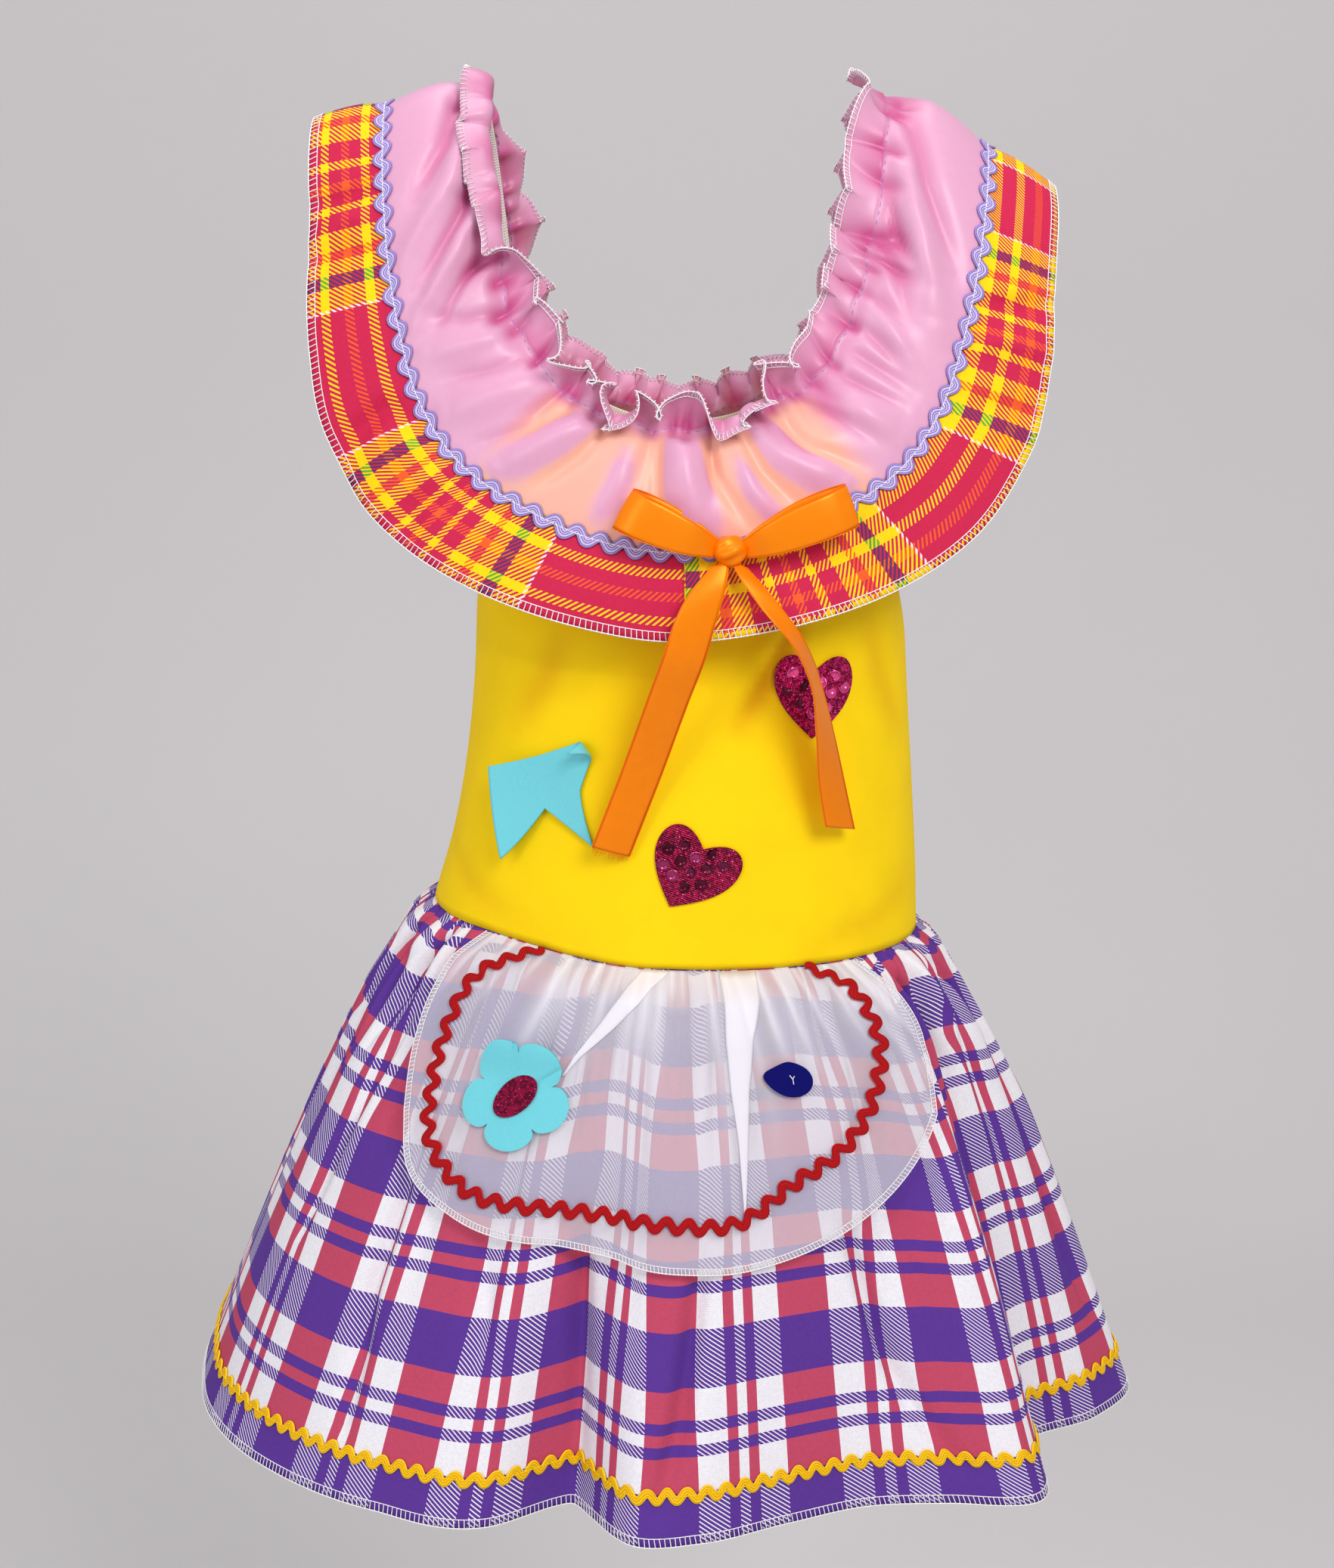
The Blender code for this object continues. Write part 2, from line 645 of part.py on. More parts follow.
def make_neck_elastic():
    gather, trim, _ = collar_lines(collar_stations(ELASTIC_RING_COLUMNS))
    down, out = collar_frame(gather, trim)
    upper = gather + down * ELASTIC_TOP - out * BEHIND_SATIN
    grid = np.stack([upper, upper + down * ELASTIC_WIDTH])
    add_halves("neck_elastic", grid, np.stack([out, out]), ELASTIC_THICK, "white_elastic")


def bodice_top(angles):
    """The bodice's upper edge: under the gather line as far as the straps' roots, then down the armholes."""
    forward_angles = 90.0 - np.abs(90.0 - np.abs(angles))
    side = np.where(angles < 0, -1.0, 1.0)
    facing = np.where(np.abs(angles) > 90.0, -BACK_DEPTH_SHARE, 1.0)
    quarter = forward_angles * NECK_STATION_SHARE
    stations = side * np.where(facing > 0, quarter, 180.0 - quarter)
    gather, trim, _ = collar_lines(stations)
    down = unit(trim - gather)
    along = collar_lines(stations + 0.5)[0] - collar_lines(stations - 0.5)[0]
    neck = gather + down * KNIT_BELOW_GATHERS - unit(np.cross(down, along)) * BEHIND_SATIN
    across, forward, height = np.moveaxis(read(ARMHOLE, np.maximum(forward_angles, ARMHOLE[0][0])), -1, 0)
    armhole = np.stack([side * across, -facing * forward, height], -1)
    return np.where((forward_angles > STRAP_ROOT_ANGLE)[:, None], armhole, neck)


def make_bodice():
    angles = -180.0 + 360.0 * np.arange(BODICE_RING_COLUMNS) / BODICE_RING_COLUMNS
    top = bodice_top(angles)
    pulled = (top - body_point(angles, top[:, 2]))[:, :2]
    rows = []
    for share in np.linspace(0.0, 1.0, BODICE_ROWS + 1):
        height = top[:, 2] + (WAIST_HEIGHT - top[:, 2]) * share
        points = body_point(angles, height)
        points[:, :2] += pulled * smooth_step((height - YOKE_START) / (top[:, 2] - YOKE_START))[:, None]
        rows.append(points)
    grid = np.stack(rows)
    add_halves("bodice", grid, ring_normals(grid), KNIT_THICK, "yellow_knit")


def apron_point(angle, height, out=0.0):
    """A point on the apron's outer face, which bridges the skirt's valleys."""
    angle, height = np.broadcast_arrays(np.asarray(angle, float), np.asarray(height, float))
    folds = fold_reach(angle, height)
    bridge = APRON_BRIDGE * skirt_drop(height)
    over_folds = 0.5 * (folds + np.sqrt(folds**2 + bridge**2))
    below_seam = smooth_step((APRON_TOP_HEIGHT - height + APRON_RISE_START) / APRON_RISE_OVER)
    waves = np.cos(2 * math.pi * angle / APRON_GATHER_ANGLE)
    fade = 1 - (1 - APRON_GATHER_KEPT) * smooth_step((APRON_TOP_HEIGHT - height) / APRON_GATHER_FADES_OVER)
    own = APRON_GATHER * (1 + waves) * fade
    clearance = APRON_SEAM_CLEARANCE + APRON_CLEARANCE * below_seam
    reach = over_folds + gather_depth(height) + clearance + own * below_seam + ORGANZA_THICK / MM
    return skirt_point(angle, height, reach + out)


def apron_places():
    """Angles and heights of the apron's grid, blended between its four sides."""
    across = np.linspace(0.0, 1.0, APRON_COLUMNS_ACROSS + 1)[None, :, None]
    down = np.asarray(APRON_ROWS_DOWN)[:, None, None]
    top_angles = APRON_TOP_LEFT + (APRON_TOP_RIGHT - APRON_TOP_LEFT) * across[0, :, 0]
    top = np.stack([top_angles, np.full(top_angles.shape, APRON_TOP_HEIGHT)], -1)[None]
    bottom = read(APRON_BOTTOM, across[0, :, 0])[None]
    left = read(APRON_LEFT, down[:, 0, 0])[:, None]
    right = read(APRON_RIGHT, down[:, 0, 0])[:, None]
    corners = (
        (1 - across) * (1 - down) * top[:, :1]
        + across * (1 - down) * top[:, -1:]
        + (1 - across) * down * bottom[:, :1]
        + across * down * bottom[:, -1:]
    )
    return (1 - down) * top + down * bottom + (1 - across) * left + across * right - corners


def make_apron():
    places = apron_places()
    grid = apron_point(places[..., 0], places[..., 1])
    add_wall("apron", grid, sheet_normals(grid), ORGANZA_THICK, "white_organza")

    route = np.linspace(0.0, 1.0, 2 * APRON_TRIM_WAVES + 1)
    fine = read(APRON_TRIM, np.linspace(0.0, 1.0, 400))
    travelled = apron_point(fine[:, 0], fine[:, 1])
    steps = np.concatenate([[0.0], np.cumsum(np.linalg.norm(np.diff(travelled, axis=0), axis=1))])
    at = np.interp(route * steps[-1], steps, np.linspace(0.0, 1.0, 400))
    angle, height = np.moveaxis(read(APRON_TRIM, at), -1, 0)
    line = apron_point(angle, height, 0.5)
    normals = surface_normals(apron_point, angle, height)
    along = unit(np.gradient(line, axis=0))
    across = np.cross(along, normals)
    add_braid("ricrac_apron", line, normals, -across, across, APRON_RICRAC, "red_braid")


def surface_normals(surface, angle, height):
    step = 0.5
    across = surface(angle + step, height) - surface(angle - step, height)
    up = surface(angle, height + step) - surface(angle, height - step)
    return unit(np.cross(across, up))


def on_surface(surface, angle, height, flat, out):
    """Flat shape points, in millimetres right and up of a place on a surface, laid on it and moved out."""
    here = surface(np.array(angle), np.array(height))
    per_degree = np.linalg.norm(surface(np.array(angle + 1.0), np.array(height)) - here)
    per_height = np.linalg.norm(surface(np.array(angle), np.array(height + 1.0)) - here)
    angles = angle + flat[:, 0] / per_degree
    heights = height + flat[:, 1] / per_height
    points = surface(angles, heights)
    return points + surface_normals(surface, angles, heights) * np.asarray(out)[..., None]


def turned(outline, degrees):
    turn = math.radians(degrees)
    cosine, sine = math.cos(turn), math.sin(turn)
    return outline @ np.array([[cosine, sine], [-sine, cosine]])


def add_patch(name, surface, shape, outline, thickness, material):
    """A flat cut shape laid on a surface: rings inside its outline, then a wall's thickness by Solidify."""
    outline = turned(outline, shape["turn"])
    count = len(outline)
    flat = np.concatenate([outline * share for share in PATCH_RINGS] + [np.zeros((1, 2))])
    out = np.full(len(flat), shape["lift"] + thickness / MM)
    points = on_surface(surface, shape["angle"], shape["height"], flat, out) * MM
    faces = []
    for corner in range(count):
        following = (corner + 1) % count
        faces.append([corner, following, count + following, count + corner])
        faces.append([count + corner, count + following, 2 * count])
    piece = add_mesh(name, points, faces, material)
    shell = piece.modifiers.new("thickness", "SOLIDIFY")
    shell.thickness = thickness
    shell.offset = -1.0


def heart_outline(shape):
    """Two lobes and a point, from the usual heart curve, whose middle lies half way down."""
    turn = np.linspace(0.0, 2 * math.pi, HEART_OUTLINE_POINTS, endpoint=False)
    across = -np.sign(np.sin(turn)) * np.abs(np.sin(turn)) ** HEART_FULLNESS
    up = 13.0 * np.cos(turn) - 5.0 * np.cos(2 * turn) - 2.0 * np.cos(3 * turn) - np.cos(4 * turn)
    up -= (up.max() + up.min()) / 2
    return np.stack([across / np.ptp(across) * shape["width"], up / np.ptp(up) * shape["length"]], -1)


def flower_outline(shape):
    turn = np.linspace(0.0, 2 * math.pi, FLOWER_OUTLINE_POINTS, endpoint=False)
    petal = np.abs(np.cos(turn * FLOWER_PETALS / 2)) ** 0.6
    reach = shape["notch"] + (shape["radius"] - shape["notch"]) * petal
    return np.stack([reach * np.cos(turn), reach * np.sin(turn)], -1)


def oval_outline(shape, point=0.0):
    """An oval, which may be drawn out to a point at its left end."""
    turn = np.linspace(0.0, 2 * math.pi, OVAL_OUTLINE_POINTS, endpoint=False)
    across = shape["width"] / 2 * np.cos(turn)
    across -= point * np.maximum(0.0, -np.cos(turn)) ** 6
    return np.stack([across, shape["length"] / 2 * np.sin(turn)], -1)


def flower_top(angle, height):
    return apron_point(angle, height, FLOWER["lift"] + FELT_THICK / MM)


def make_appliques():
    for name, shape in (("heart_upper", HEART_UPPER), ("heart_lower", HEART_LOWER)):
        add_patch(name, body_point, shape, heart_outline(shape), SEQUIN_CLOTH_THICK, "magenta_sequin")
    add_patch("flower", apron_point, FLOWER, flower_outline(FLOWER), FELT_THICK, "aqua_felt")
    centre = oval_outline(FLOWER_CENTRE)
    add_patch("flower_centre", flower_top, FLOWER_CENTRE, centre, SEQUIN_CLOTH_THICK, "magenta_sequin")
    add_patch("button", apron_point, BUTTON, oval_outline(BUTTON, BUTTON_POINT), FELT_THICK, "navy_felt")


def make_pennant():
    """A small flag with a forked lower edge, whose upper right corner curls off the bodice."""
    across = np.linspace(0.0, 1.0, 9)
    grid = []
    for fall in np.linspace(0.0, 1.0, 7):
        length = PENNANT["length"] - PENNANT["fork"] * (1 - np.abs(2 * across - 1))
        up = PENNANT_TOP_SLANT * (across - 0.5) - fall * length
        flat = turned(np.stack([(across - 0.5) * PENNANT["width"], up], -1), PENNANT["turn"])
        rightward = np.clip((across - PENNANT_CURL_FROM) / (1 - PENNANT_CURL_FROM), 0.0, 1.0)
        corner = rightward * max(0.0, 1 - fall / PENNANT_CURL_DOWN_TO)
        lift = PENNANT_LIFT + PENNANT_CURL * corner**1.5 + PENNANT_LEFT_LIFT * (1 - across) ** 3
        grid.append(on_surface(body_point, PENNANT["angle"], PENNANT["height"], flat, lift + FELT_THICK / MM))
    grid = np.stack(grid)
    add_wall("pennant", grid, sheet_normals(grid), FELT_THICK, "aqua_felt")


def add_ribbon(name, table, count):
    """A ribbon strip along a table of places, each with its own width and width direction."""
    rows = np.asarray(table, float)
    steps = np.linalg.norm(np.diff(rows[:, :3], axis=0), axis=1)
    travelled = np.concatenate([[0.0], np.cumsum(steps)])
    listed = np.concatenate([travelled[:, None], rows], axis=1)
    values = read(listed, np.linspace(0.0, travelled[-1], count))
    middle = values[:, :3] * FORWARD_TO_Y - (0.0, BOW_BASE_FORWARD, 0.0)
    across = unit(values[:, 3:6]) * values[:, 6:7] / 2
    grid = np.stack([middle + across, middle, middle - across])
    normals = sheet_normals(grid)
    if normals[1, 0, 1] > 0:
        grid, normals = grid[::-1], -normals[::-1]
    add_wall(name, grid, normals, RIBBON_THICK, "orange_ribbon")


def make_bow():
    add_ribbon("bow_loop_left", LEFT_LOOP, 17)
    add_ribbon("bow_loop_right", RIGHT_LOOP, 17)
    add_ribbon("ribbon_tail_left", LEFT_TAIL, 12)
    add_ribbon("ribbon_tail_right", RIGHT_TAIL, 14)
    bpy.ops.mesh.primitive_uv_sphere_add(segments=12, ring_count=8, radius=1.0)
    knot = bpy.context.object
    knot.name = "bow_knot"
    centre = np.array(KNOT_CENTRE) * FORWARD_TO_Y - (0.0, BOW_BASE_FORWARD, 0.0)
    place = Matrix.Translation([value * MM for value in centre])
    size = Matrix.Diagonal([*(value * MM for value in KNOT_RADII), 1.0])
    knot.data.transform(place @ size)
    knot.data.materials.append(finish("orange_ribbon"))
    knot.data.shade_smooth()


def main():
    clear_scene()
    collection = bpy.data.collections.new("festa_junina_dress")
    bpy.context.scene.collection.children.link(collection)
    make_bodice()
    make_collar()
    make_neck_elastic()
    make_skirt()
    make_apron()
    make_appliques()
    make_pennant()
    make_bow()


main()
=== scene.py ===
"""A child's festa junina dress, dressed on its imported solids: every cloth, braid, ribbon, patch and stitch.

Lengths in the tables are millimetres in the dress's own frame: +Z up, front towards -Y.
"""

import math

import bpy
import numpy as np
from mathutils import Matrix


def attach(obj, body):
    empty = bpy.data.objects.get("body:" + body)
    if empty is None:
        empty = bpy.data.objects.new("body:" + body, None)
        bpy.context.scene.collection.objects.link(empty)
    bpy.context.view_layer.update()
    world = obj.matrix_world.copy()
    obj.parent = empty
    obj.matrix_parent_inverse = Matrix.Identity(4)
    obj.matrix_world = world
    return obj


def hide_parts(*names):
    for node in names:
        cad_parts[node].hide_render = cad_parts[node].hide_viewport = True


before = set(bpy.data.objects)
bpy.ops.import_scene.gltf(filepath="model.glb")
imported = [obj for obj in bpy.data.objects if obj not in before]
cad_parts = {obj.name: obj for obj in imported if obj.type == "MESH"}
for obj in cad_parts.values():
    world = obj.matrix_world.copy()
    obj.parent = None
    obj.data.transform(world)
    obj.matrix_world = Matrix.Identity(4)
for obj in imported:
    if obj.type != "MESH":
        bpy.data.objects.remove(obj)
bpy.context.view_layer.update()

MM = 0.001
FINE_STEPS = 1441
FORWARD_TO_Y = np.array([1.0, -1.0, 1.0])

# Real cloth thicknesses.
KNIT_THICK = 0.8
SATIN_THICK = 0.25
COTTON_THICK = 0.4
ORGANZA_THICK = 0.15
ELASTIC_THICK = 0.9
BRAID_THICK = 0.8
RIBBON_THICK = 0.25
FOAM_THICK = 1.8
SEQUIN_CLOTH_THICK = 1.0
SEAM_GAP = 0.3

# The walls of the solids, which place what lies on them.
SOLID_ORGANZA = 1.0
SOLID_FELT = 1.8
BEHIND_SATIN = 1.6
KNIT_BELOW_GATHERS = 11.4

SHOULDER_ANGLE = 90.0
BACK_DEPTH_SHARE = 0.92
SECTION_POWER = 2.1
WAIST_HEIGHT = -451.8
HEM_HEIGHT = -745.0

BODY = (
    # height, centre, half_width, front_depth, back_depth
    (-451.8, 2, 139, 101, 103),
    (-420, 5, 134, 100, 100),
    (-370, 7, 127.5, 99, 95),
    (-320, 7, 122.5, 98, 92),
    (-260, 5, 119, 97.5, 89),
    (-205, 2, 116.5, 96.5, 87),
    (-160, 0, 112, 93, 85),
    (-100, 0, 107, 85, 78),
)
BODICE_COLUMNS = 360
BODICE_ROWS = 70
YOKE_START = -284.0
ARMHOLE = (
    # angle, across, forward, height
    (54, 96, 62, -117),
    (63, 100, 57, -147),
    (72, 104.5, 47, -181),
    (81, 110, 27, -209),
    (90, 114, 0, -219),
)
STRAP_ROOT_FROM = 54.0
STRAP_ROOT_TO = 63.0
NECK_STATION_SHARE = 0.75
BODICE_MM_PER_DEGREE = 2.0
# Creases in the knit: width, how far out, then the angles and heights that each passes through.
BODICE_CREASES = (
    (5, 2.4, (23.5, -258), (19.5, -272), (12.6, -293), (7, -310)),
    (6, -2.6, (28.5, -258), (25, -275), (18.5, -297), (12, -317)),
    (9, -1.2, (-33, -268), (-40, -300), (-50, -325)),
    (10, -1, (52, -262), (58, -300), (68, -330)),
    (8, -0.8, (70, -418), (52, -432), (36, -440)),
    (8, -0.8, (-74, -412), (-58, -430), (-40, -441)),
    (10, -1.2, (150, -230), (160, -290), (172, -330)),
    (10, -1.2, (-148, -240), (-160, -285), (-170, -345)),
    (9, -1, (118, -420), (140, -434), (160, -439)),
    (9, -1, (-120, -414), (-142, -431), (-165, -440)),
)

SKIRT = (
    # height, half_width, front_depth, back_depth
    (-745, 277, 176, 189),
    (-700, 261, 168, 181),
    (-650, 243, 159, 172),
    (-600, 224, 149, 162),
    (-550, 203, 139, 150),
    (-500, 177, 127, 136),
    (-475, 161, 118.5, 126),
    (-459, 148, 109, 113),
    (-452.1, 139, 101, 103),
)
SKIRT_CENTRE = 2.0
# The waist seam rises towards the left side, and takes what lies near it along.
WAIST_LIFT = 9.5
WAIST_LIFT_FROM = -10.0
WAIST_LIFT_OVER = 100.0
WAIST_LIFT_REACH = 55.0
SKIRT_COLUMNS = 640
SKIRT_ROWS = 84
SKIRT_TOP = -452.1
# Folds round the hem, from the back centre round by the left side, the front and the right side.
FOLDS = (
    # angle, reach
    (-180, -14),
    (-168, 13),
    (-154, -12),
    (-140, 16),
    (-126, -13),
    (-112, 12),
    (-98, 5),
    (-84, 1),
    (-68, 5),
    (-50, 12),
    (-32, 18),
    (-19, 15),
    (-11.3, -17),
    (-2.5, 21),
    (4, 17),
    (14, -1),
    (26, -12),
    (35, -2),
    (44, 18),
    (59, -33),
    (75, -12),
    (90, 6),
    (104, -10),
    (118, 14),
    (132, -13),
    (146, 15),
    (158, -9),
    (169, 12),
    (180, -14),
)
FOLD_GROWTH = 1.25
GATHERS = (
    # height, amplitude
    (-745, 0.4),
    (-660, 0.8),
    (-580, 1.6),
    (-512, 2.6),
    (-476, 3.2),
    (-459, 2.4),
    (-452.1, 0),
)
PLEAT_DEPTHS = (
    # height, depth of the valleys
    (-745, 1.6),
    (-660, 5),
    (-580, 9),
    (-512, 12.5),
    (-476, 13.5),
    (-459, 7),
    (-452.1, 1.2),
)
SKIRT_GATHERS = {
    "count": 74, "reaches": (0.16, 0.28, 0.42, 0.6, 0.85, 1.1),
    "width": 0.0022, "spread": 3.4, "drift": 0.012, "seed": 3,
}
SKIRT_MM_PER_DEGREE = 3.4
SKIRT_ROW_SPREAD = 1.35
# How the cloth that the gathers take up is spread into the valleys nearby.
TUCK_COLUMNS = 8
TUCK_DRIFT_COLUMNS = 10
TUCK_LEAST = 0.01
SKIRT_CREASES = (
    (5, -8, (-56, -490), (-57.4, -529.5), (-58.9, -581.6), (-60, -620)),
    (5, -8, (-41.5, -548), (-40.8, -590), (-40.9, -636), (-39.5, -668), (-38.7, -708)),
    (5, -5, (-26.5, -580), (-25, -610), (-22.5, -656)),
    (4.5, -9, (-13, -560), (-12.3, -600), (-11.2, -657), (-10.6, -742)),
    (4.5, -8, (4.6, -596), (4, -615), (1.9, -681), (-0.2, -727)),
    (5, -8, (26, -575), (27.3, -594), (29.6, -647), (32.4, -688), (37.5, -725)),
    (5, 3, (52.7, -478), (49, -530), (47, -566), (47.3, -626), (46.4, -690)),
    (5.5, -8, (58.5, -490), (56.5, -540), (56, -600), (57.5, -690)),
    (6, -7, (-72, -480), (-74, -540), (-77, -600)),
    (6, -7, (78, -520), (80, -600), (83, -690)),
    (6, -8, (112, -500), (110, -580), (106, -690)),
    (8, -3.5, (140, -480), (137, -560), (133, -640)),
    (6, -8, (161, -520), (159, -610), (157.5, -730)),
    (7, -3, (174, -470), (176, -540), (177, -600)),
    (6, -7, (-171, -560), (-176, -640), (-179, -730)),
    (8, -3.5, (-150, -490), (-152, -570), (-153.5, -660)),
    (6, -8, (-122, -500), (-125, -600), (-126.5, -720)),
    (7, -3, (-100, -480), (-101, -540), (-104, -590)),
    (4.5, -9, (-57, -456), (-62, -480), (-65, -518)),
    (5, 5, (-65, -458), (-70, -484), (-73, -525)),
    (4.5, -9, (-73, -456), (-79, -480), (-84, -510)),
    (4.5, -9, (53, -456), (57, -480), (60, -520)),
    (5, 5, (61, -458), (66, -485), (70, -530)),
    (4.5, -9, (70, -456), (76, -480), (80, -515)),
    (6, -5, (100, -456), (108, -485), (112, -530)),
    (6, -5, (-112, -456), (-118, -490), (-121, -540)),
)
HEM_TRIM_RISE = 27.0
HEM_WAVES = 144

# The collar's gather line, trim line and free edge, from the front centre (0) to the shoulder (90).
COLLAR = (
    # station, then across, forward and height of the gather line, of the trim line and of the free edge
    (0, 0, 94, -161, 0, 118, -221, 0, 130, -265),
    (8, 22, 93, -159.5, 40, 116, -216, 54, 127, -258),
    (17, 45, 89, -152, 79, 108, -201, 108, 117, -241),
    (27, 68, 79, -137.5, 112, 95, -181, 155, 98, -213),
    (38, 86, 68, -116, 134, 80, -152, 183, 78, -172),
    (50, 94, 58, -88, 146, 68, -116, 193, 65, -130),
    (63, 98.5, 47, -56, 153.5, 54, -77, 196, 52, -88),
    (77, 103, 29, -20, 158, 33, -34, 197, 32, -46),
    (90, 106, 0, 2, 160, 0, -7, 198, 0, -17),
)
COLLAR_CENTRE = -4.0
BACK_NECK_DROP = 15.0
SHOULDER_TILT_START = 58.0
SHOULDER_PIVOT = 118.0
RIGHT_SHOULDER_TILT = -0.25
LEFT_SHOULDER_TILT = 0.06
COLLAR_COLUMNS = 900
SATIN_ROWS = 26
FRILL_ROWS = 14
BAND_ROWS = 14
SATIN_PUFF = 4.0
PUCKERS = (
    # depth, amplitude
    (0, 2.4),
    (0.1, 3.6),
    (0.27, 3.6),
    (0.54, 2.6),
    (0.78, 1.4),
    (1, 0.4),
)
GATHER_WAVER = 1.5
GATHER_WAVER_COLUMNS = 5
GATHER_WAVER_DOWN_TO = 0.35
SATIN_GATHERS = {
    "count": 74, "reaches": (0.14, 0.2, 0.26, 0.34, 0.5, 0.9),
    "width": 0.0030, "spread": 2.0, "drift": 0.012, "seed": 11,
}
COLLAR_SEED = 5
SATIN_CREASES = (
    # width, how far out, then stations and depths
    (8, 6, (0.5, 0.05), (1, 0.4), (2.5, 0.9)),
    (3, -3, (-3.2, 0.1), (-2.8, 0.45), (-2.2, 0.8)),
    (3, -3, (4.6, 0.1), (5.5, 0.45), (8, 0.85)),
    (7, 5.5, (14, 0.05), (15.5, 0.4), (20, 0.85)),
    (3, -3, (10.8, 0.05), (11.6, 0.45), (14, 0.8)),
    (3.5, -2.5, (17.5, 0.05), (19.5, 0.45), (24, 0.8)),
    (7, 5.5, (-15, 0.05), (-18, 0.4), (-22, 0.85)),
    (3, -3, (-12, 0.05), (-14, 0.45), (-17, 0.8)),
    (3, -2.5, (-19, 0.05), (-22.5, 0.45), (-27, 0.8)),
    (5, 2.5, (-7.5, 0.3), (-7.5, 0.55), (-8.5, 0.85)),
    (4, 2.5, (9, 0.35), (9.5, 0.6), (11.5, 0.9)),
    (8, 4, (27, 0.05), (29, 0.45), (31, 0.85)),
    (4, -3, (23.5, 0.05), (26, 0.4), (28.5, 0.75)),
    (4, -3, (31, 0.05), (33, 0.4), (35, 0.7)),
    (9, 4.5, (-27, 0.05), (-30, 0.45), (-34, 0.85)),
    (4, -3, (-31.5, 0.05), (-34.5, 0.4), (-38, 0.7)),
    (7, 3.5, (-38, 0.05), (-40, 0.4), (-44, 0.8)),
    (4, -3, (-42.5, 0.05), (-45, 0.4), (-50, 0.75)),
    (6, -6, (-86, 0.25), (-76, 0.42), (-69, 0.7)),
    (7, 4.5, (-80, 0.08), (-69, 0.4), (-60, 0.88)),
    (4.5, -6, (-72, 0.06), (-63, 0.34), (-54, 0.75)),
    (6, 4.5, (-64, 0.08), (-57, 0.4), (-49, 0.85)),
    (4, -5, (-57, 0.05), (-53, 0.3), (-47, 0.62)),
    (7, -5, (86, 0.15), (72, 0.42), (60, 0.8)),
    (9, 4.5, (76, 0.1), (64, 0.42), (50, 0.75)),
    (4, -4, (68, 0.05), (62, 0.22), (57, 0.45)),
    (6, -3, (60, 0.05), (55, 0.3), (48, 0.5)),
    (6, 3, (48, 0.05), (45, 0.3), (42, 0.55)),
    (5, -3, (42, 0.05), (41, 0.3), (40, 0.55)),
    (5, -3, (36, 0.05), (37, 0.35), (38, 0.7)),
    (7, -3.4, (110, 0.05), (114, 0.45), (116, 0.85)),
    (9, 4, (128, 0.05), (131, 0.5), (135, 0.85)),
    (6, -3.6, (140, 0.05), (143, 0.5), (150, 0.85)),
    (7, -3.4, (168, 0.05), (166, 0.5), (165, 0.85)),
    (9, 4, (177, 0.05), (175, 0.5), (173, 0.85)),
    (6, -3.4, (-164, 0.05), (-161, 0.4), (-158, 0.8)),
    (8, 4, (-150, 0.05), (-149, 0.4), (-152, 0.8)),
    (6, -3.6, (-135, 0.05), (-138, 0.5), (-137, 0.85)),
    (9, 4, (-122, 0.05), (-125, 0.5), (-128, 0.85)),
    (7, -3.4, (-108, 0.05), (-110, 0.5), (-114, 0.85)),
)
SATIN_MM_PER_STATION = 3.4
SATIN_MM_DEEP = 62.0
BORDER_SEAM_STATION = 1.0
BORDER_DEPTH = 48.0
# For each length of the border: how far its checks are moved down it, and the way along it by station.
BORDER_LEFT = (-10.0, ((-90.0, 80.0), (-55.0, 209.0), (-36.0, 275.0), (-12.0, 418.0), (1.0, 484.0)))
BORDER_RIGHT = (0.0, ((1.0, 80.0), (22.3, 209.0), (36.0, 275.0), (70.0, 418.0), (84.0, 484.0), (90.0, 500.0)))
BORDER_BACK = (0.0, ((90.0, 130.0), (270.0, 960.0)))
BAND_PUFF = 2.0
BAND_FLARE_COUNT = 11
BAND_FLARE = 2.2
BAND_RIPPLE = 1.1
BAND_RIPPLE_COLUMNS = 9
BAND_CREASES = (
    (4, -3.5, (-74, 0), (-72.5, 0.5), (-73, 1)),
    (5, 3, (-68, 0), (-69, 0.5), (-67, 1)),
    (4, -3, (-63, 0), (-64.5, 0.6), (-64, 1)),
    (5, -5, (-36, 0), (-39, 0.35), (-37, 0.7), (-33, 1)),
    (6, 4, (-31, 0), (-33, 0.4), (-29, 1)),
    (5, -3, (-24, 0), (-26, 0.6), (-24, 1)),
    (5, -4.5, (57, 0), (58.5, 0.5), (61, 1)),
    (6, 3.5, (50, 0), (52, 0.5), (53, 1)),
    (5, -3, (41, 0), (42.5, 0.6), (44, 1)),
    (6, -3.5, (120, 0), (122, 0.5), (121, 1)),
    (7, 3, (148, 0), (150, 0.5), (152, 1)),
    (6, -3.5, (-131, 0), (-129, 0.5), (-131, 1)),
    (6, -3, (-160, 0), (-162, 0.6), (-161, 1)),
)
COLLAR_WAVES = 108
# How far the neck frill leans out of its upright, from the left shoulder round the front and the back.
LEAN = (
    # station, lean
    (-90, 166),
    (-72, 170),
    (-62, 160),
    (-54, 100),
    (-46, 46),
    (-30, 55),
    (-15, 70),
    (0, 72),
    (15, 72),
    (30, 42),
    (50, 20),
    (70, 14),
    (90, 42),
    (115, 62),
    (150, 74),
    (180, 76),
    (210, 74),
    (245, 84),
    (270, 166),
)
FRILL_HEIGHT = 22.5
FRILL_WAVES = 32
FRILL_SWINGS = (18.0, 50.0)
FRILL_LOOP = 4.6
FRILL_WOBBLE = 1.6
FRILL_WOBBLE_COLUMNS = 16
FRILL_LEAN_LIMITS = (-12.0, 174.0)
